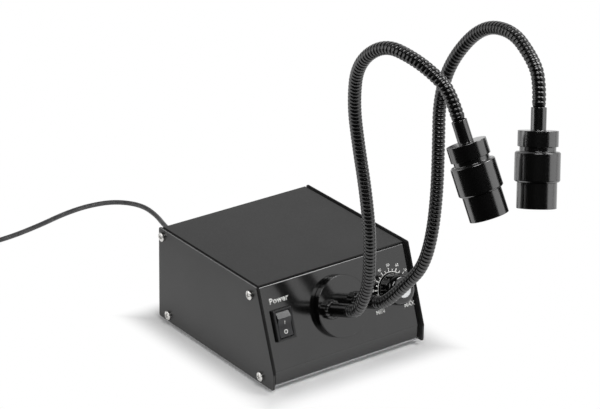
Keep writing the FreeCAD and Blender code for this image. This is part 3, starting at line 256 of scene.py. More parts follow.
def powder_coat(name, tint, roughness, grain, depth, sheen, joint_shade=0.0, painted_edge_light=False):
    """Fine textured paint on sheet metal, with painted shade in its joints, and on the plates painted
    shade along their edges with a painted highlight on their outer top rim.
    """
    finish = Finish(name).fixed(Specular_IOR_Level=sheen)
    tone = finish.noise(22, 3.0)
    speck = finish.noise(1 / (grain * MM), 2.0, 0.6)
    mottle = finish.spread(speck, -0.10, 0.10)
    share = finish.spread(tone, 0.0, 1.0) + mottle
    paint = finish.blend_colour(share, scaled(tint, 1 - COAT_SPREAD), scaled(tint, 1 + COAT_SPREAD))
    shine = finish.spread(speck, roughness - COAT_SHINE_SPREAD, roughness + COAT_SHINE_SPREAD)
    # Painted shade: black in the gap beside the side plates
    if joint_shade:
        painted_shade = finish.aside(JOINT_SHIFT) > joint_shade * MM
        paint = finish.blend_colour(painted_shade, paint, PAINTED_SHADE_BLACK)
        shine = shine + painted_shade * 0.5
    # Painted shade along the plates' top and front edges, and a painted highlight on their outer top rim
    if painted_edge_light:
        top = at(0, 0, SLOPE_TOP - EDGE_DEPTH)
        front = at(*on_panel(0, 0, PANEL_INSET - EDGE_DEPTH))
        top_edge = finish.along((0, 0, 1), tuple(top)) > 0.0
        slope_edge = finish.along(tuple(out_of_panel), tuple(front)) > 0.0
        edge = top_edge + slope_edge
        paint = finish.blend_colour(edge, paint, PAINTED_SHADE_BLACK)
        shine = shine + edge * 0.4
        outside = finish.aside() > (CASE_HALF_WIDTH - RIM_WIDTH) * MM
        rim = outside * top_edge * finish.spread(speck, 0.4, 1.0)
        paint = finish.blend_colour(rim, paint, PAINTED_RIM_HIGHLIGHT)
    finish.surface("Base Color", paint)
    finish.surface("Roughness", shine)
    finish.relief(speck, depth * MM)
    return finish


def gloss_lacquer(name, tint, roughness, wave=0.004, joint_shade=0.0):
    """Smooth black gloss with a faint waviness, and with dust and wipe marks in its shine. Where asked,
    it has painted shade along its sides by the side plates.
    """
    finish = Finish(name).fixed(IOR=1.7)
    wipe = finish.noise(60, 3.0, 0.6, finish.stretched((1.0, 0.35, 0.35), (0, 0, 0.5)))
    dust = finish.noise(2600, 1.0)
    speck = finish.spread(dust, 0.0, 1.0, 0.70, 0.78)
    paint = finish.blend_colour(speck * 0.2, tint, colour(0.06))
    shine = finish.spread(wipe, roughness * 0.8, roughness * 1.35) + speck * 0.1
    # Painted shade: black in the gap beside the side plates
    if joint_shade:
        painted_shade = finish.aside(JOINT_SHIFT) > joint_shade * MM
        paint = finish.blend_colour(painted_shade, paint, PAINTED_SHADE_BLACK)
        shine = shine + painted_shade * 0.8
    finish.surface("Base Color", paint)
    finish.surface("Roughness", shine)
    finish.relief(finish.noise(220, 2.0), wave * MM)
    return finish


def moulded(name, tint, roughness, grain=0.35, depth=0.02):
    """Moulded plastic with a spark-eroded grain."""
    finish = Finish(name)
    pits = finish.noise(1 / (grain * MM), 1.0, 0.5)
    tone = finish.noise(45, 2.0)
    finish.shades(finish.spread(tone, 0, 1), tint, 0.88, 1.12)
    finish.rough(pits, roughness + 0.05, roughness - 0.05)
    finish.relief(pits, depth * MM)
    return finish


def bare_metal(name, tint, roughness, stretch=(1, 1, 1), grain=2.0, metallic=1.0):
    """Plated, drawn or cast metal with a direction in its grain."""
    finish = Finish(name).fixed(Metallic=metallic)
    lines = finish.noise(1000 / grain, 3.0, 0.6, finish.stretched(stretch))
    stain = finish.noise(70, 2.0)
    share = finish.spread(lines, 0, 1) * 0.6 + finish.spread(stain, 0, 1) * 0.4
    finish.shades(share, tint, 0.84, 1.08)
    finish.rough(lines, roughness * 0.75, roughness * 1.3)
    finish.relief(lines, 0.004 * MM)
    return finish


def turned_black(name, tint, roughness, direction, point):
    """Black anodised metal, polished on a lathe: faint rings round its axis."""
    finish = Finish(name).fixed(IOR=2.2)
    height = finish.along(direction, point)
    wander = finish.noise(90, 2.0)
    rings = (height * (2000 * math.pi / RING_PITCH) + wander * 2.0).wave()
    fine = finish.noise(1400, 2.0, 0.6)
    finish.shades(finish.spread(wander, 0, 1), tint, 0.85, 1.2)
    finish.surface("Roughness", finish.spread(fine, roughness * 0.85, roughness * 1.2) + rings * 0.012)
    finish.relief(rings, 0.0006 * MM)
    return finish


def soft_rubber(name, tint, roughness):
    """Rubber or soft PVC, a little dusty."""
    finish = Finish(name)
    dust = finish.noise(160, 4.0, 0.65)
    grain = finish.noise(1800, 1.0)
    finish.tints(finish.spread(dust, 0.0, 0.5, 0.45, 0.75), tint, colour(0.16, 0.155, 0.15))
    finish.rough(grain, roughness - 0.05, roughness + 0.08)
    finish.relief(grain, 0.01 * MM)
    return finish


def lens_glass(name, tint):
    """Clear glass with a trace of dust."""
    finish = Finish(name).fixed(Transmission_Weight=0.9, IOR=1.52)
    dust = finish.noise(420, 3.0)
    finish.tints(finish.spread(dust, 0, 0.3), tint, colour(0.9))
    finish.rough(dust, 0.02, 0.10, 0.5, 0.8)
    return finish


def fibre_ends(name):
    """A packed bundle of glass fibres."""
    finish = Finish(name).fixed(IOR=1.6)
    cells = finish.add("ShaderNodeTexVoronoi", {}, {"Vector": finish.place(), "Scale": 2500.0})
    gaps = finish.spread(cells, 0, 1, 0.1, 0.6)
    finish.tints(gaps, colour(0.9, 0.93, 0.9), colour(0.35, 0.38, 0.36))
    finish.rough(cells, 0.12, 0.4, 0.1, 0.6)
    finish.relief(cells, 0.02 * MM)
    return finish


def circuit_board(name, tint, trace):
    """Solder mask over copper tracks."""
    finish = Finish(name)
    tracks = finish.add("ShaderNodeTexBrick", {"offset": 0.35}, {
        "Vector": finish.place(), "Scale": 110.0, "Mortar Size": 0.06,
        "Color1": colour(0), "Color2": colour(0), "Mortar": colour(1)}, output=1)
    wear = finish.noise(120, 2.0)
    finish.tints(tracks, tint, trace)
    finish.rough(wear, 0.28, 0.45)
    finish.relief(tracks, 0.03 * MM)
    return finish


def hose_paint(name):
    """Satin black paint on coiled steel strip, rubbed bright on the crests, with painted shade darkening
    its grooves.
    """
    finish = Finish(name).fixed(IOR=1.7)
    crest = finish.add("ShaderNodeAttribute", {"attribute_name": "crest"}, {}, output="Fac")
    scuff = finish.noise(900, 3.0, 0.6)
    rub = finish.spread(crest, 0.0, 1.0, 0.55, 1.0) * finish.spread(scuff, 0.0, 1.0, 0.45, 0.75)
    # Painted shade: the grooves darker than the crests
    painted_shade = finish.blend_colour(crest, colour(0.0005), colour(0.003))
    finish.tints(rub * 0.3, painted_shade, colour(0.04))
    finish.rough(scuff, 0.16, 0.26)
    finish.relief(scuff, 0.006 * MM)
    return finish


def print_ink(name, tint):
    """Screen-printed ink, slightly uneven."""
    finish = Finish(name)
    cover = finish.noise(1500, 2.0)
    finish.shades(finish.spread(cover, 0, 1), tint, 0.9, 1.0)
    finish.rough(cover, 0.35, 0.5)
    return finish


def adapter_shell(name, tint, seam_height):
    """The adapter's grained shell with the parting line of its two halves."""
    finish = Finish(name)
    pits = finish.noise(2600, 1.0)
    height = finish.along((0, 0, 1), tuple(at(0, 0, seam_height)))
    seam = height.size() < 0.25 * MM
    finish.tints(seam, tint, colour(0.004))
    finish.rough(pits, 0.55, 0.42)
    finish.relief(pits * 0.1 - seam, 0.25 * MM)
    return finish


def sleeved_capacitor(name):
    """Dark blue shrink sleeve with a pale stripe, and a bare metal end."""
    finish = Finish(name)
    tone = finish.noise(300, 2.0)
    bands = {"Vector": finish.place(), "Scale": 26.0}
    stripe = finish.add("ShaderNodeTexWave", {"bands_direction": "X"}, bands)
    finish.tints(stripe > 0.93, colour(0.02, 0.03, 0.10), colour(0.6))
    finish.rough(tone, 0.22, 0.35)
    finish.relief(tone, 0.01 * MM)
    return finish


HEAD_TOPS = {1: (-26.5, -195.5, 232.5), 2: (22.5, -211.5, 235.0)}
HEAD_AIMS = {1: (0.091, -0.419, -0.903), 2: (-0.211, -0.279, -0.937)}

# For each slot a finish with its colour, its roughness and what else it takes, lengths in millimetres
finishes = {
    # The plates get painted shade on their edges and a painted highlight on their outer top rim
    "plate_paint": powder_coat("satin_plate_paint", colour(0.030), 0.34, grain=0.5, depth=0.010,
                               sheen=0.38, painted_edge_light=True),
    # The cover gets painted shade along its sides by the side plates
    "cover_paint": powder_coat("matt_cover_paint", colour(0.018), 0.42, grain=0.6, depth=0.016,
                               sheen=0.25, joint_shade=60.2),
    # The panel gets painted shade along its sides by the side plates
    "panel_gloss": gloss_lacquer("gloss_panel_paint", colour(0.004), 0.12, joint_shade=59.7),
    "pan_steel": bare_metal("zinc_sheet", colour(0.50, 0.51, 0.52), 0.35, stretch=(1, 0.1, 1), grain=3.0),
    "screw_nickel": bare_metal("bright_nickel", colour(0.72, 0.71, 0.69), 0.24, stretch=(1, 1, 0.2),
                               grain=0.6),
    "nut_zinc": bare_metal("zinc_plate", colour(0.58), 0.36, grain=0.8),
    "foot_rubber": soft_rubber("foot_rubber", colour(0.018), 0.7),
    "switch_plastic": moulded("switch_frame_plastic", colour(0.018, 0.018, 0.019), 0.38),
    "rocker_plastic": moulded("rocker_plastic", colour(0.022, 0.022, 0.024), 0.30, grain=0.3, depth=0.01),
    "pot_metal": bare_metal("dimmer_can", colour(0.55, 0.55, 0.53), 0.35),
    "shaft_brass": bare_metal("turned_brass", colour(0.70, 0.53, 0.26), 0.3),
    "knob_plastic": gloss_lacquer("gloss_knob", colour(0.003), 0.10, wave=0.002),
    "knob_cap_metal": bare_metal("spun_silver", colour(0.72, 0.73, 0.74), 0.22, grain=0.5),
    "bushing_metal": bare_metal("turned_aluminium", colour(0.56, 0.56, 0.58), 0.32),
    "holder_metal": bare_metal("black_anodised", colour(0.05, 0.05, 0.055), 0.4, metallic=0.6),
    "optic_glass": lens_glass("lens_glass", colour(0.93, 0.96, 0.97)),
    "board_green": circuit_board("green_board", colour(0.012, 0.09, 0.035), colour(0.05, 0.22, 0.09)),
    "board_white": circuit_board("white_board", colour(0.72, 0.72, 0.70), colour(0.60, 0.58, 0.5)),
    "emitter_yellow": moulded("phosphor", colour(0.8, 0.62, 0.12), 0.3, grain=0.1, depth=0.005),
    "sink_aluminium": bare_metal("extruded_aluminium", colour(0.62, 0.63, 0.65), 0.33,
                                 stretch=(1, 1, 0.08), grain=1.2),
    "fan_plastic": moulded("fan_plastic", colour(0.02), 0.45),
    "standoff_nylon": moulded("natural_nylon", colour(0.72, 0.70, 0.62), 0.5),
    "capacitor_sleeve": sleeved_capacitor("capacitor_sleeve"),
    "terminal_green": moulded("terminal_plastic", colour(0.03, 0.26, 0.10), 0.42),
    "wire_pvc": soft_rubber("red_wire", colour(0.28, 0.02, 0.02), 0.4),
    "guide_gloss": gloss_lacquer("gloss_disc", colour(0.003), 0.10, wave=0.002),
    "stem_steel": bare_metal("ground_steel", colour(0.58, 0.58, 0.6), 0.25),
    "gland_black": gloss_lacquer("satin_gland", colour(0.003), 0.22, wave=0.002),
    "sleeve_black": gloss_lacquer("gloss_sleeve", colour(0.003), 0.16, wave=0.002),
    "hose_black": hose_paint("gooseneck_paint"),
    "fibre_glass": fibre_ends("glass_fibres"),
    "cord_pvc": soft_rubber("cord_pvc", colour(0.045, 0.045, 0.047), 0.42),
    "grommet_pvc": soft_rubber("grommet_pvc", colour(0.02), 0.5),
    "adapter_plastic": adapter_shell("adapter_shell", colour(0.02, 0.02, 0.022), seam_height=15.0),
    "pin_nickel": bare_metal("pin_nickel", colour(0.76, 0.75, 0.70), 0.22, stretch=(1, 0.2, 1),
                             grain=0.8),
}
for neck, aim in HEAD_AIMS.items():
    finishes[f"head_{neck}"] = turned_black(f"polished_head_{neck}", colour(0.001), 0.19, aim,
                                            tuple(at(*HEAD_TOPS[neck])))
white_ink = print_ink("white_print", colour(0.86, 0.86, 0.84))

slot_of_node = {part["node"]: part["material_slot"] for part in frame["record"]["subparts"]}
bodies = frame["record"]["behaviour"]["bodies"]
body_of_node = {node: body for body, nodes in bodies.items() for node in nodes}


def finish_for(node):
    slot = slot_of_node[node]
    return finishes[f"head_{node[5]}"] if slot == "head_black" else finishes[slot]


for node, solid in frame["nodes"].items():
    solid.data.materials.clear()
    solid.data.materials.append(finish_for(node).material)
    for face in solid.data.polygons:
        face.material_index = 0


# Making pieces

MERGE_REACH = 0.002
FLAT_ANGLE = math.radians(0.6)
SPUN_SHARP = 24


def placed(name, data):
    """A new object in the scene."""
    thing = bpy.data.objects.new(name, data)
    bpy.context.scene.collection.objects.link(thing)
    return thing


def piece_from(mesh, name, finish, even=True, sharp=32):
    """A smooth shaded piece from a finished bmesh, with its flat faces kept flat."""
    data = bpy.data.meshes.new(name)
    mesh.to_mesh(data)
    mesh.free()
    data.materials.append(finish.material)
    data.shade_smooth()
    if even:
        data.set_sharp_from_angle(angle=math.radians(sharp))
    piece = placed(name, data)
    if even:
        weigh = piece.modifiers.new("even_normals", "WEIGHTED_NORMAL")
        weigh.keep_sharp = True
    return piece


def stand_for(piece, *nodes, body=None):
    """piece rides on the body of the nodes and is shown in their place."""
    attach(piece, body or body_of_node[nodes[0]])
    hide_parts(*nodes)


def trim(piece, body):
    """piece rides on a body and stands for no node."""
    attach(piece, body)


def rounded_edges(mesh, width, segments=2, angle=30):
    """Rounds every edge of a bmesh that is sharper than an angle."""
    mesh.normal_update()
    least = math.radians(angle)
    sharp = [e for e in mesh.edges if len(e.link_faces) == 2 and e.calc_face_angle() > least]
    bmesh.ops.bevel(mesh, geom=sharp, offset=width, offset_type="OFFSET", segments=segments, profile=0.5,
                    affect="EDGES", clamp_overlap=False, material=-1)


def own_shape(node):
    """A node's mesh with its doubles merged and each flat face made whole."""
    mesh = bmesh.new()
    mesh.from_mesh(frame["nodes"][node].data)
    bmesh.ops.remove_doubles(mesh, verts=mesh.verts, dist=MERGE_REACH * MM)
    bmesh.ops.dissolve_limit(mesh, angle_limit=FLAT_ANGLE, verts=mesh.verts, edges=mesh.edges)
    return mesh


def softened(node, width, segments=2, angle=30):
    """A node's own shape with its sharp edges rounded as pressed, cast or machined edges are."""
    mesh = own_shape(node)
    rounded_edges(mesh, width * MM, segments, angle)
    low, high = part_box(node)
    for corner in mesh.verts:
        corner.co = [min(max(c, a), b) for c, a, b in zip(corner.co, low, high)]
    stand_for(piece_from(mesh, f"{node}_finished", finish_for(node)), node)


def spun(profile, place, closed=False, edge=0.25, steps=96):
    """A bmesh turned about Z from (radius, height) pairs in millimetres, its sharp edges rounded."""
    mesh = bmesh.new()
    points = [mesh.verts.new((radius, 0, height)) for radius, height in profile]
    lines = [mesh.edges.new(pair) for pair in zip(points, points[1:])]
    if closed:
        lines.append(mesh.edges.new((points[-1], points[0])))
    bmesh.ops.spin(mesh, geom=points + lines, cent=(0, 0, 0), axis=(0, 0, 1), dvec=(0, 0, 0),
                   angle=2 * math.pi, steps=steps, use_merge=True, use_duplicate=False)
    bmesh.ops.remove_doubles(mesh, verts=mesh.verts, dist=1e-4)
    bmesh.ops.recalc_face_normals(mesh, faces=mesh.faces)
    if edge:
        rounded_edges(mesh, edge, 3, SPUN_SHARP)
    bmesh.ops.transform(mesh, matrix=place, verts=mesh.verts)
    return mesh


def joined(meshes):
    """Several bmeshes as one."""
    whole = bmesh.new()
    for mesh in meshes:
        data = bpy.data.meshes.new("part")
        mesh.to_mesh(data)
        mesh.free()
        whole.from_mesh(data)
        bpy.data.meshes.remove(data)
    return whole


def mesh_of_curve(curve):
    """The mesh that a curve gives. The curve itself is removed."""
    thing = placed(curve.name, curve)
    bpy.context.view_layer.update()
    data = bpy.data.meshes.new_from_object(thing)
    bpy.data.objects.remove(thing)
    bpy.data.curves.remove(curve)
    return data


def nurbs_curve(name, points, resolution):
    """A NURBS curve through control points in metres."""
    curve = bpy.data.curves.new(name, "CURVE")
    curve.dimensions = "3D"
    spline = curve.splines.new("NURBS")
    spline.points.add(len(points) - 1)
    for knot, point in zip(spline.points, points):
        knot.co = (*point, 1.0)
    spline.order_u = 3
    spline.use_endpoint_u = True
    spline.resolution_u = resolution
    return curve


# Case: folded sheets, side plates, screws and feet, each with the width of its rounded edges

softened("top_cover", 0.30)
softened("side_plate_left", 0.35, 3)
softened("side_plate_right", 0.35, 3)
softened("front_panel", 0.22)
softened("rear_panel", 0.18)
softened("base_pan", 0.18)
softened("case_screws", 0.14, 2, 40)
softened("rubber_feet", 0.5, 3)
softened("switch_body", 0.18)

# Light guide: disc, fluted nuts and the two rigid sleeves

GUIDE_R = 21.0
GUIDE_THICK = 5.0
BRANCH_ACROSS = 11.0
BRANCH_DOWN = 28.0
GLAND_R = 6.6
GLAND_TIP_R = 5.3
GLAND_SIDE = 3.2
GLAND_LENGTH = 4.6
GLAND_FLUTES = 12
FLUTE_DEPTH = 0.45
FLUTE_SHARE = 0.55
SLEEVE_R = 4.6
SLEEVE_BORE_R = 4.3
SLEEVE_FOOT = 3.0
SLEEVE_TOP = 27.0

disc_profile = [(0, 0), (GUIDE_R, 0), (GUIDE_R, GUIDE_THICK), (0, GUIDE_THICK)]
disc = spun(disc_profile, panel_place(0), edge=0.55, steps=160)
stand_for(piece_from(disc, "light_guide_disc", finishes["guide_gloss"]), "guide_block")


def fluted_nut(across):
    """A round nut with flutes cut along its rim."""
    top = GUIDE_THICK + GLAND_LENGTH
    profile = [
        (SLEEVE_R, GUIDE_THICK), (GLAND_R, GUIDE_THICK), (GLAND_R, GUIDE_THICK + GLAND_SIDE),
        (GLAND_TIP_R, top), (SLEEVE_R, top),
    ]
    nut = spun(profile, Matrix.Identity(4), closed=True, edge=0.25, steps=GLAND_FLUTES * 10)
    for corner in nut.verts:
        radius = math.hypot(corner.co.x, corner.co.y)
        if radius > GLAND_TIP_R - 0.3:
            turn = math.atan2(corner.co.y, corner.co.x) * GLAND_FLUTES / (2 * math.pi)
            from_flute = abs(turn - round(turn)) * 2
            cut = FLUTE_DEPTH * max(0.0, 1 - (from_flute / FLUTE_SHARE) ** 2)
            corner.co.xy *= (radius - cut) / radius
    bmesh.ops.transform(nut, matrix=panel_place(across, BRANCH_DOWN), verts=nut.verts)
    return nut


glands = joined([fluted_nut(-BRANCH_ACROSS), fluted_nut(BRANCH_ACROSS)])
stand_for(piece_from(glands, "fluted_nuts", finishes["gland_black"], sharp=40), "neck_glands")

sleeve_profile = [
    (SLEEVE_R, SLEEVE_FOOT), (SLEEVE_R, SLEEVE_TOP), (SLEEVE_BORE_R, SLEEVE_TOP),
    (SLEEVE_BORE_R, SLEEVE_FOOT),
]
sleeves = []
for side in (-1, 1):
    place = panel_place(side * BRANCH_ACROSS, BRANCH_DOWN)
    sleeves.append(spun(sleeve_profile, place, closed=True, edge=0.14, steps=64))
stand_for(piece_from(joined(sleeves), "rigid_sleeves", finishes["sleeve_black"]), "base_ferrules")

# Gooseneck hoses

HOSE_R = 4.2
RIB_PITCH = 2.82
RIB_DEPTH = 0.5
ROUND_SHARE = 0.80
RIDGE_HEIGHT = 0.35
WIRE_FLATNESS = 4
WIRE_FULLNESS = 0.8
STATIONS_PER_RIB = 13
HOSE_SIDES = 40
HOSE_MERGE = 0.004
BALL_R = 4.05
BALL_CREST = 0.6
HOSE_START = 18.0
HOSE_LEAD = 9.5
HOSE_TAIL = 14.5
KNOTS_PER_POINT = 24

# Control points of each neck between the lead out of its sleeve and its head
NECK_CORNERS = {
    1: [
        (-10.0, -95.5, 74.5), (-13.0, -100.5, 94.5), (-16.5, -104.0, 119.5), (-21.5, -104.5, 151.0),
        (-27.0, -103.5, 181.0), (-34.0, -106.0, 212.0), (-40.5, -117.0, 244.0), (-39.5, -141.0, 263.5),
        (-35.5, -164.5, 261.0), (-30.5, -181.0, 253.0),
    ],
    2: [
        (16.5, -102.5, 73.5), (19.5, -115.0, 90.0), (20.5, -121.5, 115.0), (22.0, -122.5, 145.0),
        (22.0, -122.0, 176.0), (24.0, -118.5, 206.0), (24.5, -127.5, 235.0), (28.5, -150.0, 263.5),
        (27.5, -179.0, 270.0), (26.5, -198.5, 259.0),
    ],
}


def smooth_line(name, points):
    """The line of a NURBS curve through control points in metres, as a list of points."""
    line = mesh_of_curve(nurbs_curve(name, points, KNOTS_PER_POINT))
    found = [v.co.copy() for v in line.vertices]
    bpy.data.meshes.remove(line)
    return found


class Line:
    """A line that gives the point, the direction and two crosswise directions at any length along it."""

    def __init__(self, points):
        self.points = points
        self.lengths = [0.0]
        for a, b in zip(points, points[1:]):
            self.lengths.append(self.lengths[-1] + (b - a).length)
        self.length = self.lengths[-1]
        self.ways = []
        for i in range(len(points)):
            self.ways.append((points[min(i + 1, len(points) - 1)] - points[max(i - 1, 0)]).normalized())
        side = self.ways[0].cross(Z)
        if side.length < 0.1:
            side = self.ways[0].cross(X)
        self.sides = [side.normalized()]
        for way in self.ways[1:]:
            last = self.sides[-1]
            self.sides.append((last - way * last.dot(way)).normalized())
        self.index = 0

    def frame_at(self, length):
        """Point, side and upper direction at a length; past its end the line goes straight on."""
        while self.index < len(self.points) - 2 and self.lengths[self.index + 1] < length:
            self.index += 1
        while self.index > 0 and self.lengths[self.index] > length:
            self.index -= 1
        i = self.index
        share = (length - self.lengths[i]) / (self.lengths[i + 1] - self.lengths[i])
        turn = min(max(share, 0.0), 1.0)
        way = self.ways[i].lerp(self.ways[i + 1], turn).normalized()
        side = self.sides[i].lerp(self.sides[i + 1], turn)
        side = (side - way * side.dot(way)).normalized()
        if share > 1:
            point = self.points[i + 1] + way * (length - self.lengths[i + 1])
        else:
            point = self.points[i].lerp(self.points[i + 1], share)
        return point, side, way.cross(side)


def rib_height(turns):
    """Height, 0 to 1, of the hose's round wire and of the small ridge of the wire wedged beside it."""
    share = turns - math.floor(turns)
    if share < ROUND_SHARE:
        return (1 - abs(2 * share / ROUND_SHARE - 1) ** WIRE_FLATNESS) ** WIRE_FULLNESS
    within = (share - ROUND_SHARE) / (1 - ROUND_SHARE)
    return RIDGE_HEIGHT * (1 - abs(2 * within - 1))


def ribbed_hose(name, line, first, last, ball=False):
    """Part of the hose between two lengths along its line, with its strip wound round it."""
    length = last - first + (BALL_R * MM if ball else 0.0)
    count = max(2, round(length / (RIB_PITCH * MM) * STATIONS_PER_RIB))
    mesh = bmesh.new()
    bmesh.ops.create_grid(mesh, x_segments=count, y_segments=HOSE_SIDES, size=0.5)
    crest = mesh.verts.layers.float.new("crest")
    for corner in mesh.verts:
        reach = first + (corner.co.x + 0.5) * length
        angle = (corner.co.y + 0.5) * 2 * math.pi
        height = rib_height(reach / (RIB_PITCH * MM) + angle / (2 * math.pi))
        radius = (HOSE_R - RIB_DEPTH * (1 - height)) * MM
        if ball and reach > last:
            radius = math.sqrt(max((BALL_R * MM) ** 2 - (reach - last) ** 2, 1e-12))
            height = BALL_CREST
        point, side, upper = line.frame_at(reach)
        corner.co = point + (side * math.cos(angle) + upper * math.sin(angle)) * radius
        corner[crest] = height
    bmesh.ops.remove_doubles(mesh, verts=mesh.verts, dist=HOSE_MERGE * MM)
    rims = [e for e in mesh.edges if e.is_boundary]
    bmesh.ops.holes_fill(mesh, edges=rims, sides=0)
    bmesh.ops.recalc_face_normals(mesh, faces=mesh.faces)
    return piece_from(mesh, name, finishes["hose_black"], even=False)


def hose_line(neck):
    """The middle line of a neck, from inside its sleeve to the socket of its head."""
    across = BRANCH_ACROSS * (-1 if neck == 1 else 1)
    top = Vector(HEAD_TOPS[neck])
    aim = Vector(HEAD_AIMS[neck]).normalized()
    steps = (HOSE_START, SLEEVE_TOP, SLEEVE_TOP + HOSE_LEAD)
    route = [on_panel(across, BRANCH_DOWN, out) for out in steps]
    route += [Vector(corner) for corner in NECK_CORNERS[neck]]
    route += [top - aim * HOSE_TAIL, top]
    return Line(smooth_line(f"neck_{neck}_line", [at(*point) for point in route]))


# Share of each neck's length at which its hose is cut into a lower and an upper piece
SPLIT_SHARE = 0.45

for neck in (1, 2):
    line = hose_line(neck)
    split = round(line.length * SPLIT_SHARE / (RIB_PITCH * MM)) * RIB_PITCH * MM
    lower = ribbed_hose(f"gooseneck_{neck}_lower", line, 0.0, split)
    upper = ribbed_hose(f"gooseneck_{neck}_upper", line, split, line.length, ball=True)
    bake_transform(lower)
    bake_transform(upper)
    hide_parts("neck_bases")
    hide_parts(f"neck_{neck}_riser", f"neck_{neck}_crown")

# Focusing heads

HEAD_SLEEVE_R = 4.7
SOCKET_R = 4.15
SOCKET_RIM = 2.25
SOCKET_FLOOR = 5.0
SOCKET_DEEP = 6.5
CAP_AT = 16.0
CAP_R = 12.2
GROOVE_AT = 25.5
GROOVE_R = 10.9
BODY_AT = 28.4
BODY_R = 13.7
BODY_END = 46.4
BODY_BORE_R = 11.4
BARREL_AT = 46.5
BARREL_R = 12.0
BARREL_BORE_R = 9.6
BARREL_END = 62.2
BARREL_DEEP = BARREL_AT - 10.0
CHAMFER = 0.8
MOUTH_CHAMFER = 0.6
SLIDE_R = BODY_BORE_R - 0.05
SPIGOT_END = BODY_AT + 6.0
LENS_LOW = 55.7
LENS_R = 9.5
LENS_EDGE = 2.5
LENS_CHAMFER = 0.2
LENS_SEAT_R = 8.2
LENS_SEAT_LOW = LENS_LOW - 1.2

cap_profile = [
    (0, SOCKET_DEEP), (SOCKET_R, SOCKET_FLOOR), (SOCKET_R, SOCKET_RIM), (HEAD_SLEEVE_R, SOCKET_RIM),
    (HEAD_SLEEVE_R, CAP_AT), (CAP_R, CAP_AT), (CAP_R, GROOVE_AT), (GROOVE_R, GROOVE_AT),
    (GROOVE_R, BODY_AT), (SLIDE_R, BODY_AT), (SLIDE_R, SPIGOT_END), (0, SPIGOT_END),
]
body_profile = [
    (BODY_BORE_R, BODY_AT), (BODY_R - CHAMFER, BODY_AT), (BODY_R, BODY_AT + CHAMFER),
    (BODY_R, BODY_END - CHAMFER), (BODY_R - CHAMFER, BODY_END), (BODY_BORE_R, BODY_END),
]
barrel_profile = [
    (LENS_SEAT_R, LENS_SEAT_LOW), (BARREL_BORE_R, LENS_SEAT_LOW), (BARREL_BORE_R, BARREL_DEEP),
    (SLIDE_R, BARREL_DEEP), (SLIDE_R, BARREL_AT), (BARREL_R, BARREL_AT), (BARREL_R, BARREL_END),
    (BARREL_BORE_R + MOUTH_CHAMFER, BARREL_END), (BARREL_BORE_R, BARREL_END - CHAMFER),
    (BARREL_BORE_R, LENS_LOW), (LENS_SEAT_R, LENS_LOW),
]
lens_profile = [(0, LENS_LOW), (LENS_R - LENS_CHAMFER, LENS_LOW), (LENS_R, LENS_LOW + LENS_CHAMFER)]
for degrees in range(0, 90, 10):
    turn = math.radians(degrees)
    lens_profile.append((LENS_R * math.cos(turn), LENS_LOW + LENS_EDGE * (1 + math.sin(turn))))
lens_profile.append((0, LENS_LOW + 2 * LENS_EDGE))

for neck in (1, 2):
    place = axis_place(HEAD_TOPS[neck], HEAD_AIMS[neck])
    polish = finishes[f"head_{neck}"]
    parts = [
        ("cap", cap_profile, False, 0.30, polish),
        ("body", body_profile, True, 0.22, polish),
        ("barrel", barrel_profile, True, 0.25, polish),
        ("lens", lens_profile, False, 0.0, finishes["optic_glass"]),
    ]
    for word, profile, closed, edge, finish in parts:
        mesh = spun(profile, place, closed=closed, edge=edge, steps=128)
        stand_for(piece_from(mesh, f"head_{neck}_{word}_turned", finish), f"head_{neck}_{word}")

# Dimmer knob with its silver cap and pointer line

KNOB_R = 10.8
KNOB_GAP = 0.6
KNOB_SIDE = 8.0
KNOB_TOP = 13.0
KNOB_TOP_R = 7.6
KNOB_BORE_R = 8.2
KNOB_BORE_TOP = 3.4
KNOB_LIP = 0.5
KNOB_CAP_R = 5.6
KNOB_CAP_GAP = 0.1
KNOB_CAP_PROUD = 0.7
KNOB_CAP_SEAT = KNOB_TOP - 1.2
DISH_R = 4.8
DISH_DEPTH = 0.35
POINTER_REST = 135.0
POINTER_WIDTH = 1.0
POINTER_THICK = 0.5
POINTER_LENGTH = 6.2
POINTER_HEIGHT = 4.8
POINTER_SUNK = 0.15

knob_profile = [
    (0, KNOB_BORE_TOP), (KNOB_BORE_R, KNOB_BORE_TOP), (KNOB_BORE_R, KNOB_GAP), (KNOB_R, KNOB_GAP),
]
for degrees in range(0, 91, 9):
    turn = math.radians(degrees)
    knob_profile.append((KNOB_R - (KNOB_R - KNOB_TOP_R) * (1 - math.cos(turn)),
                         KNOB_SIDE + (KNOB_TOP - KNOB_SIDE) * math.sin(turn)))
knob_profile += [
    (KNOB_CAP_R + KNOB_CAP_GAP, KNOB_TOP + KNOB_LIP), (KNOB_CAP_R + KNOB_CAP_GAP, KNOB_CAP_SEAT),
    (0, KNOB_CAP_SEAT),
]
knob = spun(knob_profile, panel_place(DIAL_ACROSS), edge=0.25, steps=128)
stand_for(piece_from(knob, "dimmer_knob_turned", finishes["knob_plastic"]), "dimmer_knob")

cap_disc_profile = [
    (0, KNOB_CAP_SEAT), (KNOB_CAP_R, KNOB_CAP_SEAT), (KNOB_CAP_R, KNOB_TOP + KNOB_CAP_PROUD),
]
for radius in (4.8, 3.2, 1.6, 0.0):
    sag = DISH_DEPTH * (1 - (radius / DISH_R) ** 2)
    cap_disc_profile.append((radius, KNOB_TOP + KNOB_CAP_PROUD - sag))
cap_disc = spun(cap_disc_profile, panel_place(DIAL_ACROSS), edge=0.18, steps=96)
stand_for(piece_from(cap_disc, "knob_cap_spun", finishes["knob_cap_metal"]), "knob_cap")


def bar(width, length, thick, place):
    """A thin bar with rounded edges, centred on its place."""
    mesh = bmesh.new()
    bmesh.ops.create_cube(mesh, size=1.0)
    bmesh.ops.scale(mesh, vec=(width, length, thick), verts=mesh.verts)
    rounded_edges(mesh, min(width, length, thick) * 0.3, 2)
    bmesh.ops.transform(mesh, matrix=place, verts=mesh.verts)
    return mesh


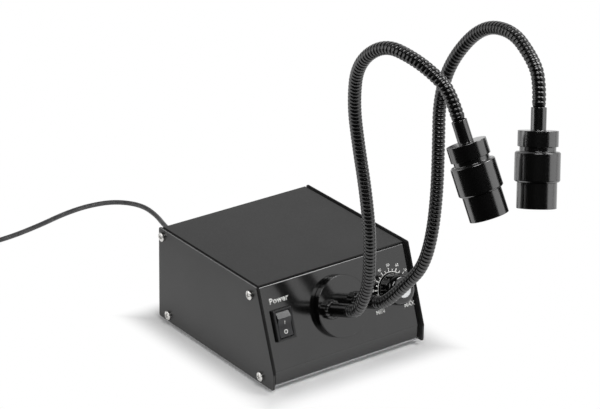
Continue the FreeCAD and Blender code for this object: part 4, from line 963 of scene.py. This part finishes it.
pointer_turn = Matrix.Rotation(math.radians(POINTER_REST), 4, "Z")
pointer_spot = Matrix.Translation((0, KNOB_R - POINTER_SUNK, POINTER_HEIGHT))
pointer = bar(POINTER_WIDTH, POINTER_THICK, POINTER_LENGTH,
              panel_place(DIAL_ACROSS) @ pointer_turn @ pointer_spot)
trim(piece_from(pointer, "knob_pointer", white_ink), "dimmer")

# Printing on the panel, white ink on the face

INK = 0.03
CAP_SHARE = 0.729
LETTER_WEIGHT = 0.09
LETTER_SPACING = 1.05


def lettering(text, height):
    """Flat letters of a cap height, centred, in millimetres."""
    words = bpy.data.curves.new("words", "FONT")
    words.body = text
    words.size = height / CAP_SHARE
    words.align_x = "CENTER"
    words.align_y = "CENTER"
    words.space_character = LETTER_SPACING
    words.offset = LETTER_WEIGHT * height * 0.5
    words.resolution_u = 3
    words.extrude = INK
    data = mesh_of_curve(words)
    mesh = bmesh.new()
    mesh.from_mesh(data)
    bmesh.ops.remove_doubles(mesh, verts=mesh.verts, dist=MERGE_REACH)
    bpy.data.meshes.remove(data)
    return mesh


def moved(mesh, place):
    """The mesh, taken to a place."""
    bmesh.ops.transform(mesh, matrix=place, verts=mesh.verts)
    return mesh


ARC_WIDTH = 0.5
TICK_WIDTH = 0.8
TICK_INNER_R = 11.9
TICK_OUTER_R = 14.4
SHORT_TICK_OUTER_R = TICK_OUTER_R - 0.9
NUMBER_R = 16.3
NUMBER_HEIGHT = 2.0
DIAL_SWEEP = 270.0
DIAL_STEPS = 20
NUMBER_PER_STEP = 5

# Words on the panel: cap height, and place across and down its slope
PANEL_WORDS = (("Power", 4.0, -46.0, 12.3), ("MIN", 2.9, 31.6, 41.3), ("MAX", 2.9, 56.0, 42.4))

marks = [moved(lettering(word, height), panel_place(across, down, INK))
         for word, height, across, down in PANEL_WORDS]
for step in range(DIAL_STEPS + 1):
    angle = math.radians(DIAL_SWEEP / 2 - DIAL_SWEEP * step / DIAL_STEPS)
    numbered = step % 2 == 0
    outer = TICK_OUTER_R if numbered else SHORT_TICK_OUTER_R
    place = panel_place(DIAL_ACROSS, out=INK) @ Matrix.Rotation(angle, 4, "Z")
    halfway = Matrix.Translation((0, (TICK_INNER_R + outer) / 2, 0))
    marks.append(bar(TICK_WIDTH, outer - TICK_INNER_R, 2 * INK, place @ halfway))
    if numbered:
        way = Vector((-math.sin(angle), math.cos(angle), 0)) * NUMBER_R
        place = panel_place(DIAL_ACROSS, out=INK) @ Matrix.Translation(way)
        marks.append(moved(lettering(str(step * NUMBER_PER_STEP), NUMBER_HEIGHT), place))


def dial_arc():
    """The printed arc inside the ticks."""
    mesh = bmesh.new()
    inner = TICK_INNER_R - ARC_WIDTH
    ring = [(inner, -INK), (TICK_INNER_R, -INK), (TICK_INNER_R, INK), (inner, INK)]
    points = [mesh.verts.new((radius, 0, height)) for radius, height in ring]
    section = mesh.faces.new(points)
    bmesh.ops.spin(mesh, geom=[section] + list(section.edges) + points, cent=(0, 0, 0), axis=(0, 0, 1),
                   dvec=(0, 0, 0), angle=math.radians(DIAL_SWEEP), steps=72, use_merge=False,
                   use_duplicate=False)
    bmesh.ops.recalc_face_normals(mesh, faces=mesh.faces)
    turn = Matrix.Rotation(math.radians(90 - DIAL_SWEEP / 2), 4, "Z")
    return moved(mesh, panel_place(DIAL_ACROSS, out=INK) @ turn)


marks.append(dial_arc())
printing = piece_from(joined(marks), "panel_printing", white_ink, even=False)
trim(printing, "case")

# The rocker, with the facet at its upper end and the marks laid on its hollow face

ROCKER_PIVOT = -1.0
ROCKER_TILT = 9.0
ROCKER_TIP = 3.8
ROCKER_DIP = 1.6
ROCKER_HALF = 7.6
ROCKER_EDGE = 0.2
FACET_LOW = 5.0
FACET_LEAN = math.radians(36)
hollow_r = (ROCKER_HALF ** 2 + ROCKER_DIP ** 2) / (2 * ROCKER_DIP)
rocker_turn = Matrix.Rotation(math.radians(ROCKER_TILT), 4, "X")
rocker_place = (panel_place(SWITCH_ACROSS) @ Matrix.Translation((0, 0, ROCKER_PIVOT)) @ rocker_turn
                @ Matrix.Translation((0, 0, -ROCKER_PIVOT)))


def hollow_at(y):
    """Height of the rocker's hollow face that far along it."""
    return ROCKER_TIP - ROCKER_DIP + hollow_r - math.sqrt(hollow_r ** 2 - y ** 2)


def rocker():
    """The rocker's own shape with its upper tip cut to a facet and its edges rounded."""
    mesh = own_shape("switch_rocker")
    low = Vector((0, FACET_LOW, hollow_at(FACET_LOW)))
    facing = rocker_place.to_quaternion() @ Vector((0, math.sin(FACET_LEAN), math.cos(FACET_LEAN)))
    cut = bmesh.ops.bisect_plane(mesh, geom=mesh.verts[:] + mesh.edges[:] + mesh.faces[:], dist=1e-7,
                                 plane_co=rocker_place @ low, plane_no=facing, clear_outer=True)
    rim = [part for part in cut["geom_cut"] if isinstance(part, bmesh.types.BMEdge)]
    bmesh.ops.holes_fill(mesh, edges=rim, sides=0)
    bmesh.ops.recalc_face_normals(mesh, faces=mesh.faces)
    rounded_edges(mesh, ROCKER_EDGE * MM, 2, 28)
    return mesh


stand_for(piece_from(rocker(), "rocker_moulded", finishes["rocker_plastic"]), "switch_rocker")


def on_rocker(mesh, height):
    """Lays flat marks on the rocker's hollow top at a height along it."""
    for corner in mesh.verts:
        y = corner.co.y + height
        corner.co.z += hollow_at(y) + INK
        corner.co.y = y
    return moved(mesh, rocker_place)


# Marks on the rocker: cap height, and place up from its middle
ROCKER_MARKS = (("I", 2.3, 1.7), ("O", 2.8, -4.6))
marks = [on_rocker(lettering(mark, height), up) for mark, height, up in ROCKER_MARKS]
trim(piece_from(joined(marks), "rocker_marks", white_ink, even=False), "rocker")

# Supply cord, its strain relief and its coil, running to the adapter

CORD_R = 1.8
REAR_BACK = 65.1
CORD_ACROSS = 14.0
CORD_HEIGHT = 21.0
RELIEF_BORE_R = CORD_R - 0.1

# Radius and distance out of the rear panel: plug, flange, three ribs and the tip
relief_profile = [
    (RELIEF_BORE_R, -1.2), (5.0, -1.2), (5.0, 0.0), (6.0, 0.0), (6.0, 2.0),
    (4.6, 2.0), (4.5, 5.0), (4.0, 5.0), (4.0, 6.4),
    (4.3, 6.4), (4.1, 9.4), (3.6, 9.4), (3.6, 10.8),
    (3.85, 10.8), (3.6, 13.8), (3.15, 13.8), (3.15, 15.2),
    (3.35, 15.2), (2.7, 20.0), (RELIEF_BORE_R, 20.0),
]
relief_place = axis_place((CORD_ACROSS, REAR_BACK, CORD_HEIGHT), (0, 1, 0))
relief = spun(relief_profile, relief_place, closed=True, edge=0.15, steps=64)
stand_for(piece_from(relief, "cord_strain_relief", finishes["grommet_pvc"]), "cord_grommet")

CORD_CORNERS = [
    (CORD_ACROSS, REAR_BACK, CORD_HEIGHT),
    (14.0, 98.0, 21.0), (15.0, 130.0, 12.0), (17.5, 160.0, 1.8), (22.0, 186.0, 1.8),
    (28.0, 208.0, 1.8), (28.5, 229.0, 1.8), (16.0, 245.0, 1.8), (-4.0, 250.0, 1.8), (-27.0, 248.0, 1.8),
    (-54.0, 240.5, 1.8), (-84.0, 235.0, 1.8), (-115.0, 235.5, 1.8), (-144.0, 235.0, 1.8),
]
COIL_X = -170.0
COIL_Y = 208.0
COIL_OUTER = 25.9
COIL_INNER = 15.1
CORD_TAIL = [(-197.0, 194.0, 6.5), (-198.5, 182.0, 12.0), (-198.0, 170.0, 15.0)]
POINTS_PER_TURN = 16
COIL_TURNS = 8.25
CLIMB_FROM = 3.5
CLIMB_TURNS = 0.5
OUTWARDS_FROM = 5
CORD_KNOTS_PER_POINT = 10


def coil_points():
    """Turns that run inwards on the floor and outwards on top of themselves."""
    found = []
    # A quadratic curve passes inside its control points, so these stand that much further out
    corner_reach = 1 / (0.75 + 0.25 * math.cos(2 * math.pi / POINTS_PER_TURN))
    for i in range(round(COIL_TURNS * POINTS_PER_TURN) + 1):
        turns = i / POINTS_PER_TURN
        inwards = max(COIL_OUTER - 2 * CORD_R * turns, COIL_INNER)
        outwards = min(COIL_INNER + 2 * CORD_R * (turns - OUTWARDS_FROM), COIL_OUTER)
        climbed = turns >= CLIMB_FROM + CLIMB_TURNS
        radius = (max(outwards, COIL_INNER) if climbed else inwards) * corner_reach
        lift = min(max((turns - CLIMB_FROM) / CLIMB_TURNS, 0.0), 1.0)
        angle = math.pi / 2 + 2 * math.pi * turns
        found.append((COIL_X + radius * math.cos(angle), COIL_Y + radius * math.sin(angle),
                      CORD_R + 2 * CORD_R * lift))
    return found


cord_points = [at(*point) for point in CORD_CORNERS + coil_points() + CORD_TAIL]
cord_curve = nurbs_curve("supply_cord_line", cord_points, CORD_KNOTS_PER_POINT)
cord_curve.bevel_depth = CORD_R * MM
cord_curve.bevel_resolution = 5
cord_curve.use_fill_caps = True
cord_curve.materials.append(finishes["cord_pvc"].material)
cord = placed("supply_cord_line", cord_curve)
stand_for(cord, "supply_cord", "cord_coil", "cord_tail")

# Floor, lamps and camera

CAMERA_PLACE = (-940.94, -1258.86, 811.68)
TO_CAMERA = Vector((-0.547, -0.727, 0.4145)).normalized()
CAMERA_ROLL = 1.055
LENS = 155.1

flat_right = Vector((-TO_CAMERA.y, TO_CAMERA.x, 0)).normalized()
flat_up = TO_CAMERA.cross(flat_right)
roll = math.radians(CAMERA_ROLL)
right = flat_right * math.cos(roll) + flat_up * math.sin(roll)
upward = flat_up * math.cos(roll) - flat_right * math.sin(roll)
lens = bpy.data.cameras.new("camera")
lens.lens = LENS
lens.sensor_width = 36.0
lens.sensor_fit = "HORIZONTAL"
lens.clip_end = 50.0
camera = placed("camera", lens)
camera.matrix_world = (Matrix.Translation(at(*CAMERA_PLACE))
                       @ Matrix((right, upward, TO_CAMERA)).transposed().to_4x4())
bpy.context.scene.camera = camera

# A table that ends just in front of the object, so that its gloss mirrors the dark before it

TABLE_HALF = 1.3
TABLE_FRONT = 0.20
TABLE_DROP = 0.0002
SHADOW_REACH = 25.0
GLOW_AT_CASE = 0.05
toward = Vector((TO_CAMERA.x, TO_CAMERA.y, 0)).normalized()
floor_mesh = bmesh.new()
bmesh.ops.create_grid(floor_mesh, x_segments=8, y_segments=8, size=TABLE_HALF)
table_middle = case_centre - toward * (TABLE_HALF - TABLE_FRONT) - Z * TABLE_DROP
table_turn = Matrix((flat_right, -toward, Z)).transposed().to_4x4()
table_place = Matrix.Translation(table_middle) @ table_turn
bmesh.ops.transform(floor_mesh, matrix=table_place, verts=floor_mesh.verts)
paper = Finish("white_paper")
paper_tone = paper.noise(30, 2.0)
paper.tints(paper.spread(paper_tone, 0, 1), colour(0.88), colour(0.92))
paper.rough(paper_tone, 0.85, 0.95)
paper.fixed(Specular_IOR_Level=0.1)
glow = paper.add("ShaderNodeEmission", {}, {"Color": colour(1), "Strength": 1.0})
seen = paper.add("ShaderNodeLightPath", output="Is Camera Ray")
mirrored = paper.add("ShaderNodeLightPath", output="Is Glossy Ray")
refracted = paper.add("ShaderNodeLightPath", output="Is Transmission Ray")
beside = paper.along((1, 0, 0), tuple(case_centre)).size() - CASE_HALF_WIDTH * MM
before = paper.along((0, 1, 0), tuple(case_centre)).size() - CASE_HALF_DEPTH * MM
away = beside.maths("MAXIMUM", beside, before)
clear = paper.add("ShaderNodeMapRange", {"interpolation_type": "SMOOTHSTEP"}, {
    "Value": away, "From Min": 0.0, "From Max": SHADOW_REACH * MM, "To Min": GLOW_AT_CASE, "To Max": 1.0})
veil = paper.add("ShaderNodeMixShader", {}, {
    0: (seen + mirrored + refracted) * clear, 1: Value(paper, paper.shader.outputs[0]), 2: glow})
paper.tree.links.new(veil.socket, paper.tree.nodes["Material Output"].inputs["Surface"])
floor = piece_from(floor_mesh, "paper_floor", paper, even=False)


ROOM_LEVEL = 0.18
ROOM_STOPS = [(0.0, colour(0.003)), (0.62, colour(0.02)), (0.82, colour(0.7)), (1.0, colour(1.0))]


class Sky(Finish):
    """The room round the object, as a world."""

    def __init__(self):
        self.world = bpy.data.worlds.new("studio")
        self.world.use_nodes = True
        self.tree = self.world.node_tree


def room():
    """Grey for plain light, white behind the object and dark behind the camera in reflections."""
    sky = Sky()
    way = sky.add("ShaderNodeTexCoord", output="Generated")
    ahead = (-TO_CAMERA.x, -TO_CAMERA.y, 0.0)
    depth = sky.add("ShaderNodeVectorMath", {"operation": "DOT_PRODUCT"}, {0: way, 1: ahead},
                    output="Value")
    share = sky.add("ShaderNodeMapRange", {}, {"Value": depth, "From Min": -0.9, "From Max": 0.9})
    backdrop = sky.add("ShaderNodeValToRGB", {"stops": ROOM_STOPS}, {"Fac": share})
    path = sky.add("ShaderNodeLightPath", output="Is Camera Ray")
    gloss = sky.add("ShaderNodeLightPath", output="Is Glossy Ray")
    clear = sky.add("ShaderNodeLightPath", output="Is Transmission Ray")
    mirrored = sky.blend_colour(gloss, colour(ROOM_LEVEL), backdrop)
    through = sky.blend_colour(clear, mirrored, colour(1.0))
    shown = sky.blend_colour(path, through, colour(1.0))
    background = sky.add("ShaderNodeBackground", {}, {"Color": shown, "Strength": 1.0})
    sky.tree.links.new(background.socket, sky.tree.nodes["World Output"].inputs["Surface"])
    bpy.context.scene.world = sky.world


room()

lamp_aim = at(0, -60, 120)

# Name, degrees to the right of the camera, distance, height, width and length in metres, and radiance
LAMPS = (
    ("left_box", -85, 1.05, 0.28, (0.75, 0.8), 1.7),
    ("right_box", 80, 1.05, 0.30, (0.9, 0.8), 1.05),
    ("key_box", 84, 0.48, 0.52, (0.27, 0.27), 9.0),
    ("top_box", 10, 0.70, 0.95, (0.6, 0.5), 6.5),
)


def soft_box(name, turn, distance, height, size, radiance):
    """A rectangular lamp pointed at the object."""
    way = toward * math.cos(math.radians(turn)) + flat_right * math.sin(math.radians(turn))
    place = lamp_aim + way * distance + Z * height
    light = bpy.data.lights.new(name, "AREA")
    light.shape = "RECTANGLE"
    light.size, light.size_y = size
    light.energy = radiance * math.pi * size[0] * size[1]
    turned = (place - lamp_aim).to_track_quat("Z", "Y").to_matrix().to_4x4()
    placed(name, light).matrix_world = Matrix.Translation(place) @ turned


for lamp in LAMPS:
    soft_box(*lamp)

bpy.context.scene.view_settings.view_transform = "Standard"
